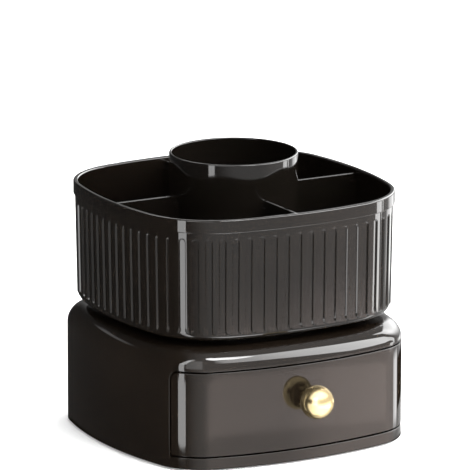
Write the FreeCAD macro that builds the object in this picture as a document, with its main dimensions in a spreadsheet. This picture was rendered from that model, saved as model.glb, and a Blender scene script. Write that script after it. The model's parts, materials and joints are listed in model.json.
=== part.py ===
import FreeCAD, Part
import Sketcher
import math
import os

# Rotating vanity organiser: a low base with one drawer, and on top of it a fluted tray that turns on a ball race.
# Origin: on the turning axis, in the plane of the base's underside. +Z up, drawer towards -Y. Millimetres.

doc = FreeCAD.newDocument("rotating_makeup_organizer")
sheet = doc.addObject("Spreadsheet::Sheet", "dims")
sheet.Label = "dims"

# ---------------------------------------------------------------- driving dimensions
D = {}
ROWS = [
    # base plan and shell
    ("base_half", 110.0, "half the base's width across the flats"),
    ("base_side_rad", 304.0, "radius of the slightly bowed sides"),
    ("base_corner_rad", 40.0, "radius of the corners"),
    ("base_height", 89.5, "top of the base"),
    ("shoulder_rad", 14.5, "rounding from wall to top"),
    ("base_wall", 2.6, "shell wall"),
    ("deck_under", 86.9, "underside of the top wall"),
    ("lip_top", 8.6, "top of the band under the drawer"),
    ("opening_top", 73.8, "top of the drawer opening"),
    ("opening_back", 79.9, "how far forward of the axis the opening's side edges stand"),
    ("opening_rad", 7.0, "rounding of the opening's upper corners"),
    ("seam_gap", 0.7, "gap round the drawer front"),
    ("foot_edge_rad", 0.8, "rounding of the base's lower edge"),
    # bottom plate
    ("plate_thick", 2.5, "bottom plate"),
    ("plate_gap", 0.15, "plate to shell"),
    ("foot_rad", 8.0, "rubber foot"),
    ("foot_sink", 0.5, "recess for the foot"),
    ("foot_proud", 1.5, "foot below the plate"),
    ("foot_pos", 72.0, "foot centre from each axis"),
    ("boss_pos", 86.0, "plate screw from each axis"),
    ("boss_rad", 4.5, "plate screw boss"),
    ("boss_top", 8.4, "top of the plate screw boss"),
    # turntable race
    ("well_rad", 66.6, "round well in the base's top"),
    ("well_floor", 84.5, "floor of the well"),
    ("well_wall_rad", 70.0, "outside of the well under the deck"),
    ("well_under", 82.0, "underside of the well's floor"),
    ("race_in", 32.0, "race rings, inner radius"),
    ("race_out", 66.0, "race rings, outer radius"),
    ("race_low_top", 88.8, "top of the lower ring"),
    ("race_up_bottom", 91.2, "underside of the upper ring"),
    ("ball_height", 90.0, "ball centres"),
    ("ball_pitch_rad", 58.0, "ball circle"),
    ("ball_rad", 2.4, "ball"),
    ("groove_rad", 2.5, "groove in each ring"),
    ("ball_count", 24, "balls"),
    ("cage_in", 53.0, "cage, inner radius"),
    ("cage_out", 63.0, "cage, outer radius"),
    ("cage_bottom", 89.4, "cage underside"),
    ("cage_thick", 1.2, "cage"),
    ("cage_pocket_rad", 2.45, "cage pocket"),
    ("race_screw_rad", 38.0, "circle of the ring screws"),
    ("race_boss_rad", 4.0, "ring screw boss"),
    ("race_boss_low", 77.5, "underside of the lower bosses"),
    # pivot
    ("hub_rad", 6.0, "tray's hub"),
    ("hub_hole_rad", 6.08, "hole for the hub"),
    ("hub_bottom", 79.2, "lower end of the hub"),
    ("pivot_boss_rad", 11.0, "boss round the hub hole"),
    ("pivot_boss_low", 79.5, "underside of that boss"),
    ("washer_rad", 9.5, "washer"),
    ("washer_thick", 1.2, "washer"),
    ("pivot_screw_rad", 2.0, "pivot screw shank"),
    ("pivot_head_rad", 4.2, "pivot screw head"),
    ("pivot_head_thick", 2.6, "pivot screw head"),
    ("pivot_screw_top", 92.0, "tip of the pivot screw"),
    # tray
    ("tray_half", 108.3, "half the collar's width"),
    ("tray_side_rad", 293.0, "radius of the tray's sides"),
    ("tray_corner_rad", 61.4, "radius of the tray's corners"),
    ("tray_bottom", 94.0, "underside of the tray"),
    ("tray_floor", 96.5, "floor of the tray"),
    ("collar_low", 176.3, "lower edge of the collar"),
    ("rim_top", 186.3, "top of the rim"),
    ("rim_rad", 1.8, "rounding of the rim"),
    ("wall_in_top", 1.25, "wall inside the collar's face, at the collar"),
    ("wall_in_low", 2.64, "the same at the tray's underside"),
    ("tray_wall", 2.6, "tray wall, at its ribs"),
    ("flute_deep", 1.2, "depth of the flutes between the ribs"),
    ("flute_count", 72, "flutes round the wall"),
    ("flute_wide", 4.8, "width of a flute"),
    ("flute_top", 171.3, "top of the flutes' arches"),
    ("rib_low", 100.6, "lower end of the ribs"),
    ("tray_edge_rad", 8.0, "rounding of the tray's lower edge"),
    ("tray_inner_rad", 5.5, "rounding inside it"),
    ("cup_rad", 48.0, "brush cup, outer radius"),
    ("cup_wall", 2.0, "brush cup wall"),
    ("cup_top", 211.0, "brush cup rim"),
    ("cup_floor_low", 103.0, "underside of the cup's floor"),
    ("cup_floor_top", 105.0, "cup's floor"),
    ("ring_out", 45.9, "locating ring, outer radius"),
    ("ring_in", 43.4, "locating ring, inner radius"),
    ("ring_top", 100.5, "top of the locating ring"),
    ("tray_boss_top", 102.0, "top of the ring screw bosses in the tray"),
    ("divider_thick", 2.0, "divider"),
    ("divider_top", 183.0, "top of the dividers"),
    ("slot_gap", 0.1, "divider to guide rib"),
    ("guide_rib", 1.6, "guide rib thickness"),
    ("guide_deep", 3.0, "guide rib depth"),
    ("guide_top", 178.0, "top of the guide ribs"),
    # drawer
    ("front_thick", 3.0, "drawer front"),
    ("box_half", 90.0, "half the drawer box's width"),
    ("box_back", 86.0, "rear of the drawer box"),
    ("box_corner_rad", 12.0, "rear corners"),
    ("box_bottom", 9.2, "underside of the drawer box"),
    ("box_top", 70.0, "top of the drawer box"),
    ("box_wall", 2.0, "drawer box wall"),
    ("tab_half", 15.0, "half the width of the stop tab"),
    ("tab_low", 4.5, "lower end of the stop tab"),
    ("tab_front", 80.0, "front of the stop tab"),
    ("travel", 135.0, "drawer travel"),
    ("stop_gap", 0.3, "tab to stop at full travel"),
    ("stop_top", 8.0, "top of the stop"),
    ("runner_long", 140.0, "runner length"),
    ("runner_in", 76.0, "runner's inner edge"),
    ("runner_out", 93.0, "runner's outer edge"),
    ("runner_top", 9.0, "runner's ledge"),
    ("fence_in", 90.4, "fence beside the drawer box"),
    ("fence_top", 20.0, "top of the fence"),
    ("runner_screw_x", 82.0, "runner screw"),
    ("runner_screw_y", 55.0, "runner screw"),
    # knob
    ("knob_rad", 12.6, "knob ball"),
    ("knob_out", 125.1, "ball centre forward of the axis"),
    ("knob_height", 47.3, "ball centre above the underside"),
    ("neck_rad", 4.2, "knob neck"),
    ("knob_screw_rad", 2.0, "knob screw"),
    ("knob_hole_rad", 2.15, "clearance hole for it"),
    ("knob_head_rad", 3.8, "knob screw head"),
    ("knob_head_thick", 2.4, "knob screw head"),
    ("knob_screw_long", 14.0, "knob screw under the head"),
    # small screws
    ("screw_rad", 1.5, "self-tapping screw shank"),
    ("screw_hole_rad", 1.7, "clearance hole"),
    ("sink_rad", 3.0, "countersunk head"),
    ("sink_deep", 1.5, "countersunk head depth"),
    ("front_screw_height", 40.0, "drawer front screws"),
    ("front_screw_deg", 9.5, "their angle about the front's centre of curvature"),
    ("front_head_rad", 2.9, "their head"),
    ("front_head_thick", 1.8, "their head"),
]
for row, (alias, value, words) in enumerate(ROWS, start=1):
    sheet.set("A%d" % row, words)
    sheet.set("B%d" % row, "%.12g" % value)
    sheet.setAlias("B%d" % row, alias)
    D[alias] = float(value)
doc.recompute()


def lin(*terms):
    """A sum of sheet dimensions and plain numbers, as (value, expression)."""
    value, text = 0.0, ""
    for t in terms:
        if isinstance(t, (int, float)):
            value += t
            text += "%+.12g" % t
        else:
            sign, name = (-1, t[1:]) if t.startswith("-") else (1, t)
            value += sign * D[name]
            text += ("-" if sign < 0 else "+") + "dims." + name
    return value, text.lstrip("+")


def neg(v):
    return -v[0], "-1 * (" + v[1] + ")"


def bind(obj, prop, v):
    """Set a property to a sheet value and keep it bound."""
    if "." not in prop:
        setattr(obj, prop, v[0])
    obj.setExpression(prop, v[1])


# ---------------------------------------------------------------- sketch helpers
def new_body(label):
    b = doc.addObject("PartDesign::Body", label)
    b.Label = label
    if hasattr(b, "AllowCompound"):
        b.AllowCompound = True
    return b


def origin_item(body, role):
    return [f for f in body.Origin.OriginFeatures if f.Role == role][0]


def new_sketch(body, name, role="XY_Plane", height=None):
    sk = body.newObject("Sketcher::SketchObject", name)
    sk.AttachmentSupport = [(origin_item(body, role), "")]
    sk.MapMode = "FlatFace"
    if height is not None:
        sk.AttachmentOffset = FreeCAD.Placement(
            FreeCAD.Vector(0, 0, height[0]), FreeCAD.Rotation()
        )
        sk.setExpression("AttachmentOffset.Base.z", height[1])
    return sk


def V(x, y):
    return FreeCAD.Vector(x, y, 0)


def drive(sk, index, v):
    sk.setExpression("Constraints[%d]" % index, v[1])


def pin_point(sk, geo, pos, x, y):
    """Fix a point of the sketch at (x, y), each bound to the sheet."""
    for kind, v, axis in (("DistanceX", x, -2), ("DistanceY", y, -1)):
        if abs(v[0]) < 1e-9:
            sk.addConstraint(Sketcher.Constraint("PointOnObject", geo, pos, axis))
        elif v[0] > 0:
            i = sk.addConstraint(Sketcher.Constraint(kind, -1, 1, geo, pos, v[0]))
            drive(sk, i, v)
        else:
            i = sk.addConstraint(Sketcher.Constraint(kind, geo, pos, -1, 1, -v[0]))
            drive(sk, i, neg(v))


def polygon(sk, pts):
    first = sk.GeometryCount
    n = len(pts)
    for i in range(n):
        a, b = pts[i], pts[(i + 1) % n]
        sk.addGeometry(Part.LineSegment(V(a[0][0], a[1][0]), V(b[0][0], b[1][0])), False)
    for i in range(n):
        sk.addConstraint(
            Sketcher.Constraint("Coincident", first + i, 2, first + (i + 1) % n, 1)
        )
    for i in range(n):
        pin_point(sk, first + i, 1, pts[i][0], pts[i][1])


def rect(sk, x0, x1, y0, y1):
    polygon(sk, [(x0, y0), (x1, y0), (x1, y1), (x0, y1)])


ZERO = (0.0, "0")


def circle(sk, x, y, r):
    g = sk.addGeometry(Part.Circle(V(x[0], y[0]), FreeCAD.Vector(0, 0, 1), r[0]), False)
    pin_point(sk, g, 3, x, y)
    i = sk.addConstraint(Sketcher.Constraint("Radius", g, r[0]))
    drive(sk, i, r)


def bowed_square(sk, kind, inset=ZERO):
    """Closed outline of eight tangent arcs: four bowed sides and four corners, drawn parallel at an inset."""
    half, side, corner = D[kind + "_half"], D[kind + "_side_rad"], D[kind + "_corner_rad"]
    d = side - half
    c = (-d + math.sqrt(2 * (side - corner) ** 2 - d * d)) / 2
    th = math.atan2(c, c + d)
    rs, rc = side - inset[0], corner - inset[0]
    first = sk.GeometryCount
    up = FreeCAD.Vector(0, 0, 1)
    for q in range(4):
        a = q * math.pi / 2
        ca, sa = round(math.cos(a)), round(math.sin(a))
        side_arc = Part.ArcOfCircle(Part.Circle(V(-d * ca, -d * sa), up, rs), a - th, a + th)
        sk.addGeometry(side_arc, False)
        cx, cy = c * ca - c * sa, c * sa + c * ca
        corner_arc = Part.ArcOfCircle(
            Part.Circle(V(cx, cy), up, rc), a + th, a + math.pi / 2 - th
        )
        sk.addGeometry(corner_arc, False)
    less = "" if inset is ZERO else " - (" + inset[1] + ")"
    dist = (d, "dims.%s_side_rad - dims.%s_half" % (kind, kind))
    for q in range(4):
        s, k = first + 2 * q, first + 2 * q + 1
        sk.addConstraint(Sketcher.Constraint("Tangent", s, 2, k, 1))
        sk.addConstraint(Sketcher.Constraint("Tangent", k, 2, first + (2 * q + 2) % 8, 1))
        i = sk.addConstraint(Sketcher.Constraint("Radius", s, rs))
        sk.setExpression("Constraints[%d]" % i, "dims.%s_side_rad%s" % (kind, less))
        i = sk.addConstraint(Sketcher.Constraint("Radius", k, rc))
        sk.setExpression("Constraints[%d]" % i, "dims.%s_corner_rad%s" % (kind, less))
        x = [neg(dist), ZERO, dist, ZERO][q]
        y = [ZERO, neg(dist), ZERO, dist][q]
        pin_point(sk, s, 3, x, y)


# ---------------------------------------------------------------- feature helpers
def settle(f):
    """Recompute, and stop at the first feature that has no valid shape."""
    doc.recompute()
    if [x for x in f.State if str(x) in ("Invalid", "Error")] or f.Shape.isNull() or not f.Shape.isValid():
        raise RuntimeError("%s failed: %s" % (f.Name, f.getStatusString()))
    return f


def pad(body, name, sk, length, reverse=False, mid=False, taper=None):
    f = body.newObject("PartDesign::Pad", name)
    f.Profile = sk
    bind(f, "Length", length)
    f.Reversed = reverse
    if mid:
        f.Midplane = True
    if taper is not None:
        f.TaperAngle = taper[0]
        f.setExpression("TaperAngle", taper[1])
    return settle(f)


def pocket(body, name, sk, length=None, reverse=False, mid=False, taper=None):
    f = body.newObject("PartDesign::Pocket", name)
    f.Profile = sk
    before = body.Shape.Volume
    if length is None:
        f.Type = 1
    else:
        bind(f, "Length", length)
    f.Reversed = reverse
    if mid:
        f.Midplane = True
    if taper is not None:
        f.TaperAngle = taper[0]
        f.setExpression("TaperAngle", taper[1])
    settle(f)
    after = f.Shape.Volume
    if not after < before - 0.01:
        raise RuntimeError("%s in %s removes nothing" % (name, body.Label))
    return f


def revolve(body, name, sk, cut=False):
    f = body.newObject("PartDesign::Groove" if cut else "PartDesign::Revolution", name)
    f.Profile = sk
    f.ReferenceAxis = (sk, ["V_Axis"])
    f.Angle = 360.0
    before = body.Shape.Volume if cut else 0
    settle(f)
    if cut and not f.Shape.Volume < before - 0.01:
        raise RuntimeError("%s in %s removes nothing" % (name, body.Label))
    return f


def polar(body, name, feature, count):
    f = body.newObject("PartDesign::PolarPattern", name)
    f.Originals = [feature]
    f.Axis = (origin_item(body, "Z_Axis"), [""])
    f.Angle = 360.0
    f.Occurrences = int(count[0])
    f.setExpression("Occurrences", count[1])
    body.Tip = f
    return settle(f)


def edges_where(shape, test):
    return ["Edge%d" % (i + 1) for i, e in enumerate(shape.Edges) if test(e)]


def dress(body, name, base, kind, names, size):
    f = body.newObject("PartDesign::" + kind, name)
    f.Base = (base, names)
    bind(f, "Radius" if kind == "Fillet" else "Size", size)
    return settle(f)


def flat_at(z):
    """Edges that lie in the horizontal plane at z."""
    return lambda e: abs(e.BoundBox.ZMin - z) < 1e-4 and abs(e.BoundBox.ZMax - z) < 1e-4


def reach(e):
    """Largest distance of an edge from the turning axis."""
    return max(math.hypot(v.X, v.Y) for v in e.Vertexes)


# ---------------------------------------------------------------- primitives placed by the sheet
def cyl(label, r, h, base, axis=(0, 0, 1), spin=None):
    """Cylinder from a base point along an axis; spin turns it about an upright line."""
    o = doc.addObject("Part::Cylinder", label)
    o.Label = label
    bind(o, "Radius", r)
    bind(o, "Height", h)
    place(o, base, axis, spin)
    return o


def cone(label, r1, r2, h, base, axis=(0, 0, 1), spin=None):
    o = doc.addObject("Part::Cone", label)
    o.Label = label
    bind(o, "Radius1", r1)
    bind(o, "Radius2", r2)
    bind(o, "Height", h)
    place(o, base, axis, spin)
    return o


def place(o, base, axis, spin):
    rot = FreeCAD.Rotation(FreeCAD.Vector(0, 0, 1), FreeCAD.Vector(*axis))
    pos = FreeCAD.Vector(base[0][0], base[1][0], base[2][0])
    if spin is not None:
        (cx, cy), deg = spin
        turn = FreeCAD.Rotation(FreeCAD.Vector(0, 0, 1), deg)
        centre = FreeCAD.Vector(cx, cy, 0)
        pos = centre + turn.multVec(pos - centre)
        rot = turn.multiply(rot)
        o.Placement = FreeCAD.Placement(pos, rot)
        return
    o.Placement = FreeCAD.Placement(pos, rot)
    for k, v in zip("xyz", base):
        o.setExpression("Placement.Base." + k, v[1])


def fuse(label, *parts):
    if len(parts) == 2:
        f = doc.addObject("Part::Fuse", label)
        f.Base, f.Tool = parts
    else:
        f = doc.addObject("Part::MultiFuse", label)
        f.Shapes = list(parts)
    f.Label = label
    return f


def cut(label, base, tool):
    f = doc.addObject("Part::Cut", label)
    f.Base, f.Tool = base, tool
    f.Label = label
    return f


def group(label, parts):
    f = doc.addObject("Part::Compound", label)
    f.Links = list(parts)
    f.Label = label
    return f


def sunk_screw(label, base, long_, down=True):
    """Countersunk screw whose head's outer face is at base; it drives downward, or upward."""
    axis = (0, 0, -1) if down else (0, 0, 1)
    head = cone(label + "_head", lin("sink_rad"), lin("screw_rad"), lin("sink_deep"), base, axis)
    shank = cyl(label + "_shank", lin("screw_rad"), long_, base, axis)
    return fuse(label, head, shank)


SPOTS = [(1, 1), (-1, 1), (-1, -1), (1, -1)]


def signed(name, s):
    return lin(name) if s > 0 else neg(lin(name))


NODES = []


def node(obj, label):
    obj.Label = label
    NODES.append((label, obj))
    return obj


# ================================================================ BASE
# ---- base_housing: one moulded shell, open below, with the drawer opening across its front and round both corners
b = new_body("base_housing_body")
sk = new_sketch(b, "housing_outline")
bowed_square(sk, "base")
f = pad(b, "housing_block", sk, lin("base_height"))
sk = new_sketch(b, "housing_hollow_outline")
bowed_square(sk, "base", lin("base_wall"))
f = pocket(b, "housing_hollow", sk, lin("deck_under"), reverse=True)
inner = edges_where(f.Shape, flat_at(D["deck_under"]))
f = dress(b, "housing_hollow_shoulder", f, "Fillet", inner, lin("shoulder_rad", "-base_wall"))
f = dress(b, "housing_shoulder", f, "Fillet", edges_where(f.Shape, flat_at(D["base_height"])), lin("shoulder_rad"))
outer_low = edges_where(f.Shape, lambda e: flat_at(0.0)(e) and reach(e) > D["base_half"] * 1.12)
f = dress(b, "housing_foot_edge", f, "Fillet", outer_low, lin("foot_edge_rad"))
# round well for the ball race: its wall and floor hang under the deck
sk = new_sketch(b, "well_outside", height=lin("well_under"))
circle(sk, ZERO, ZERO, lin("well_wall_rad"))
f = pad(b, "well_block", sk, lin("deck_under", "-well_under", 0.5))
sk = new_sketch(b, "well_inside", height=lin("base_height"))
circle(sk, ZERO, ZERO, lin("well_rad"))
f = pocket(b, "well_recess", sk, lin("base_height", "-well_floor"))
sk = new_sketch(b, "pivot_boss_outline", height=lin("pivot_boss_low"))
circle(sk, ZERO, ZERO, lin("pivot_boss_rad"))
f = pad(b, "pivot_boss", sk, lin("well_under", "-pivot_boss_low", 0.5))
sk = new_sketch(b, "race_boss_outline", height=lin("race_boss_low"))
circle(sk, lin("race_screw_rad"), ZERO, lin("race_boss_rad"))
f = pad(b, "race_boss", sk, lin("well_under", "-race_boss_low", 0.5))
f = polar(b, "race_bosses", f, (4, "4"))
sk = new_sketch(b, "race_pilot_outline", height=lin("well_floor"))
circle(sk, lin("race_screw_rad"), ZERO, lin("screw_rad"))
f = pocket(b, "race_pilot", sk, lin("well_floor", "-race_boss_low", -1.0))
f = polar(b, "race_pilots", f, (4, "4"))
sk = new_sketch(b, "hub_hole_outline", height=lin("well_floor", 1.0))
circle(sk, ZERO, ZERO, lin("hub_hole_rad"))
f = pocket(b, "hub_hole", sk, lin("well_floor", "-pivot_boss_low", 3.0))
# four short bosses in the corners for the bottom plate's screws
sk = new_sketch(b, "plate_boss_outline", height=lin("plate_thick"))
circle(sk, lin("boss_pos"), lin("boss_pos"), lin("boss_rad"))
f = pad(b, "plate_boss", sk, lin("boss_top", "-plate_thick"))
f = polar(b, "plate_bosses", f, (4, "4"))
sk = new_sketch(b, "plate_pilot_outline", height=lin("plate_thick", -0.5))
circle(sk, lin("boss_pos"), lin("boss_pos"), lin("screw_rad"))
f = pocket(b, "plate_pilot", sk, lin("boss_top", "-plate_thick", -0.4), reverse=True)
f = polar(b, "plate_pilots", f, (4, "4"))
# drawer opening, seen from the side: square below, rounded above
sk = new_sketch(b, "opening_side_view", "YZ_Plane")
yb, r_o = -D["opening_back"], D["opening_rad"]
zt, zl, far = D["opening_top"], D["lip_top"], -D["base_half"] - 20
g = [
    Part.LineSegment(V(far, zl), V(yb, zl)),
    Part.LineSegment(V(yb, zl), V(yb, zt - r_o)),
    Part.ArcOfCircle(Part.Circle(V(yb - r_o, zt - r_o), FreeCAD.Vector(0, 0, 1), r_o), 0, math.pi / 2),
    Part.LineSegment(V(yb - r_o, zt), V(far, zt)),
    Part.LineSegment(V(far, zt), V(far, zl)),
]
for x in g:
    sk.addGeometry(x, False)
for i, p, j, q in ((0, 2, 1, 1), (3, 2, 4, 1), (4, 2, 0, 1)):
    sk.addConstraint(Sketcher.Constraint("Coincident", i, p, j, q))
sk.addConstraint(Sketcher.Constraint("Tangent", 1, 2, 2, 1))
sk.addConstraint(Sketcher.Constraint("Tangent", 2, 2, 3, 1))
sk.addConstraint(Sketcher.Constraint("Vertical", 1))
sk.addConstraint(Sketcher.Constraint("Horizontal", 3))
drive(sk, sk.addConstraint(Sketcher.Constraint("Radius", 2, r_o)), lin("opening_rad"))
pin_point(sk, 0, 1, neg(lin("base_half", 20)), lin("lip_top"))
pin_point(sk, 0, 2, neg(lin("opening_back")), lin("lip_top"))
pin_point(sk, 3, 2, neg(lin("base_half", 20)), lin("opening_top"))
f = pocket(b, "drawer_opening", sk, lin("base_half", "base_half", 20), mid=True)
node(b, "base_housing")

# ---- base_bottom_plate: flat plate let into the shell, with the drawer's stop and the runners' screw holes
b = new_body("base_bottom_plate_body")
sk = new_sketch(b, "plate_outline")
bowed_square(sk, "base", lin("base_wall", "plate_gap"))
f = pad(b, "plate_slab", sk, lin("plate_thick"))
sk = new_sketch(b, "stop_outline", height=lin("plate_thick"))
stop_back = neg(lin("travel", "-tab_front", "stop_gap"))
stop_front = neg(lin("travel", "-tab_front", "stop_gap", 3.0))
rect(sk, neg(lin("tab_half")), lin("tab_half"), stop_front, stop_back)
f = pad(b, "drawer_stop", sk, lin("stop_top", "-plate_thick"))
sk = new_sketch(b, "foot_recess_outline", height=lin("foot_sink"))
circle(sk, lin("foot_pos"), lin("foot_pos"), lin("foot_rad", 0.1))
f = pocket(b, "foot_recess", sk, lin("foot_sink"))
f = polar(b, "foot_recesses", f, (4, "4"))
plate_body = b
tools = []
for i, (sx, sy) in enumerate(SPOTS):
    for kind, nx, ny in (("plate", "boss_pos", "boss_pos"), ("runner", "runner_screw_x", "runner_screw_y")):
        base = (signed(nx, sx), signed(ny, sy), ZERO)
        lower = (base[0], base[1], (-1.0, "-1"))
        tools.append(cyl("%s_hole_%d" % (kind, i), lin("screw_hole_rad"), lin("plate_thick", 2.0), lower))
        tools.append(
            cone("%s_sink_%d" % (kind, i), lin("sink_rad", 0.1), lin("screw_hole_rad"), lin("sink_deep", -0.1), base)
        )
node(cut("base_bottom_plate", plate_body, group("plate_tools", tools)), "base_bottom_plate")
screws = [
    sunk_screw("bottom_screw_%d" % i, (signed("boss_pos", sx), signed("boss_pos", sy), ZERO), lin("plate_thick", 5.0), False)
    for i, (sx, sy) in enumerate(SPOTS)
]
node(group("bottom_plate_screws", screws), "bottom_plate_screws")

# ---- rubber feet
for name, sx, sy in (("front_left", -1, -1), ("front_right", 1, -1), ("rear_left", -1, 1), ("rear_right", 1, 1)):
    b = new_body("foot_%s_body" % name)
    sk = new_sketch(b, "foot_%s_outline" % name, height=neg(lin("foot_proud")))
    circle(sk, signed("foot_pos", sx), signed("foot_pos", sy), lin("foot_rad"))
    f = pad(b, "foot_%s_pad" % name, sk, lin("foot_proud", "foot_sink"))
    low = edges_where(f.Shape, flat_at(-D["foot_proud"]))
    f = dress(b, "foot_%s_edge" % name, f, "Chamfer", low, (0.5, "0.5"))
    node(b, "foot_%s" % name)

# ---- runners: ledge and fence, one each side, screwed up through the bottom plate
for name, s in (("left", -1), ("right", 1)):
    b = new_body("drawer_runner_%s_body" % name)
    sk = new_sketch(b, "runner_%s_profile" % name, "XZ_Plane")
    inner, fence, outer = (signed(k, s) for k in ("runner_in", "fence_in", "runner_out"))
    low, ledge, top = lin("plate_thick"), lin("runner_top"), lin("fence_top")
    polygon(sk, [(inner, low), (outer, low), (outer, top), (fence, top), (fence, ledge), (inner, ledge)])
    f = pad(b, "runner_%s_bar" % name, sk, lin("runner_long"), mid=True)
    pilots = [
        cyl(
            "runner_%s_pilot_%d" % (name, i),
            lin("screw_rad"),
            lin("runner_top", "-plate_thick", -0.8),
            (signed("runner_screw_x", s), signed("runner_screw_y", sy), lin("plate_thick", -0.1)),
        )
        for i, sy in enumerate((-1, 1))
    ]
    node(cut("drawer_runner_%s" % name, b, group("runner_%s_pilots" % name, pilots)), "drawer_runner_%s" % name)
screws = [
    sunk_screw("runner_screw_%d" % i, (signed("runner_screw_x", sx), signed("runner_screw_y", sy), ZERO), lin("plate_thick", 5.0), False)
    for i, (sx, sy) in enumerate(SPOTS)
]
node(group("runner_screws", screws), "runner_screws")


# ---- ball race: two plain rings with a round groove, and four countersunk screws each
def race(label, low, high, first_deg, sink_top):
    body = new_body(label + "_body")
    s = new_sketch(body, label + "_profile", "XZ_Plane")
    rect(s, lin("race_in"), lin("race_out"), low, high)
    revolve(body, label + "_ring", s)
    s = new_sketch(body, label + "_groove_profile", "XZ_Plane")
    circle(s, lin("ball_pitch_rad"), lin("ball_height"), lin("groove_rad"))
    revolve(body, label + "_groove", s, cut=True)
    holes = []
    for i in range(4):
        spin = ((0.0, 0.0), first_deg + 90.0 * i)
        holes.append(
            cyl("%s_hole_%d" % (label, i), lin("screw_hole_rad"), (high[0] - low[0] + 2, high[1] + " - (" + low[1] + ") + 2"),
                (lin("race_screw_rad"), ZERO, (low[0] - 1, low[1] + " - 1")), spin=spin)
        )
        if sink_top:
            holes.append(cone("%s_sink_%d" % (label, i), lin("sink_rad", 0.1), lin("screw_hole_rad"), lin("sink_deep", -0.1),
                              (lin("race_screw_rad"), ZERO, high), (0, 0, -1), spin=spin))
        else:
            holes.append(cone("%s_sink_%d" % (label, i), lin("sink_rad", 0.1), lin("screw_hole_rad"), lin("sink_deep", -0.1),
                              (lin("race_screw_rad"), ZERO, low), (0, 0, 1), spin=spin))
    return node(cut(label, body, group(label + "_holes", holes)), label)


race("turntable_lower_race", lin("well_floor"), lin("race_low_top"), 0.0, True)
race("turntable_upper_race", lin("race_up_bottom"), lin("tray_bottom"), 45.0, False)


def race_screws(label, z, first_deg, down, long_):
    parts = []
    for i in range(4):
        a = math.radians(first_deg + 90.0 * i)
        x = (D["race_screw_rad"] * math.cos(a), "dims.race_screw_rad * cos(%g)" % (first_deg + 90 * i))
        y = (D["race_screw_rad"] * math.sin(a), "dims.race_screw_rad * sin(%g)" % (first_deg + 90 * i))
        parts.append(sunk_screw("%s_%d" % (label, i), (x, y, z), long_, down))
    node(group(label, parts), label)


race_screws("lower_race_screws", lin("race_low_top"), 0, True, lin("race_low_top", "-race_boss_low", -1.6))
race_screws("upper_race_screws", lin("race_up_bottom"), 45, False, lin("tray_boss_top", "-race_up_bottom", -1.6))

# ================================================================ BALL CAGE
b = new_body("ball_cage_body")
sk = new_sketch(b, "cage_outline", height=lin("cage_bottom"))
circle(sk, ZERO, ZERO, lin("cage_out"))
circle(sk, ZERO, ZERO, lin("cage_in"))
f = pad(b, "cage_ring", sk, lin("cage_thick"))
sk = new_sketch(b, "cage_pocket_outline", height=lin("cage_bottom", "cage_thick", 0.5))
circle(sk, lin("ball_pitch_rad"), ZERO, lin("cage_pocket_rad"))
f = pocket(b, "cage_pocket", sk, lin("cage_thick", 1.0))
f = polar(b, "cage_pockets", f, lin("ball_count"))
node(b, "ball_cage")

balls = []
for i in range(int(D["ball_count"])):
    deg = 360.0 / D["ball_count"] * i
    o = doc.addObject("Part::Sphere", "ball_%02d" % i)
    bind(o, "Radius", lin("ball_rad"))
    a = math.radians(deg)
    o.Placement = FreeCAD.Placement(
        FreeCAD.Vector(D["ball_pitch_rad"] * math.cos(a), D["ball_pitch_rad"] * math.sin(a), D["ball_height"]),
        FreeCAD.Rotation(),
    )
    o.setExpression("Placement.Base.x", "dims.ball_pitch_rad * cos(360 / dims.ball_count * %d)" % i)
    o.setExpression("Placement.Base.y", "dims.ball_pitch_rad * sin(360 / dims.ball_count * %d)" % i)
    o.setExpression("Placement.Base.z", "dims.ball_height")
    balls.append(o)
node(group("bearing_balls", balls), "bearing_balls")

# ================================================================ TURNING TRAY
# ---- rotating_tray: tapered wall, raised collar and rim, floor with the hub below and the cup's seat above
taper_deg = math.degrees(math.atan2(D["wall_in_low"] - D["wall_in_top"], D["collar_low"] - D["tray_bottom"]))
taper = (taper_deg, "atan((dims.wall_in_low - dims.wall_in_top) / (dims.collar_low - dims.tray_bottom))")
b = new_body("rotating_tray_body")
sk = new_sketch(b, "wall_outline", height=lin("tray_bottom"))
bowed_square(sk, "tray", lin("wall_in_low", "flute_deep"))
f = pad(b, "wall_block", sk, lin("collar_low", "-tray_bottom"), taper=taper)
if f.Shape.BoundBox.XMax < D["tray_half"] - D["wall_in_top"] - D["flute_deep"] - 0.2:
    f.TaperAngle = -taper_deg
    f.setExpression("TaperAngle", "-1 * " + taper[1])
    taper = (-taper[0], "-1 * " + taper[1])
    doc.recompute()
sk = new_sketch(b, "collar_outline", height=lin("collar_low"))
bowed_square(sk, "tray")
f = pad(b, "collar_block", sk, lin("rim_top", "-collar_low"))
sk = new_sketch(b, "hollow_outline", height=lin("tray_floor"))
bowed_square(sk, "tray", lin("wall_in_low", "tray_wall"))
f = pocket(b, "hollow", sk, lin("rim_top", "-tray_floor"), reverse=True, taper=taper)
f = dress(b, "hollow_lower_edge", f, "Fillet", edges_where(f.Shape, flat_at(D["tray_floor"])), lin("tray_inner_rad"))
f = dress(b, "wall_lower_edge", f, "Fillet", edges_where(f.Shape, flat_at(D["tray_bottom"])), lin("tray_edge_rad"))
f = dress(b, "rim_edge", f, "Fillet", edges_where(f.Shape, flat_at(D["rim_top"])), lin("rim_rad", -0.5))
sk = new_sketch(b, "hub_outline", height=lin("hub_bottom"))
circle(sk, ZERO, ZERO, lin("hub_rad"))
f = pad(b, "hub", sk, lin("tray_bottom", "-hub_bottom", 1.0))
sk = new_sketch(b, "hub_pilot_outline", height=lin("hub_bottom"))
circle(sk, ZERO, ZERO, lin("pivot_screw_rad"))
f = pocket(b, "hub_pilot", sk, lin("pivot_screw_top", "-hub_bottom", 0.5), reverse=True)
sk = new_sketch(b, "ring_outline", height=lin("tray_floor"))
circle(sk, ZERO, ZERO, lin("ring_out"))
circle(sk, ZERO, ZERO, lin("ring_in"))
f = pad(b, "cup_ring", sk, lin("ring_top", "-tray_floor"))
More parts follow.
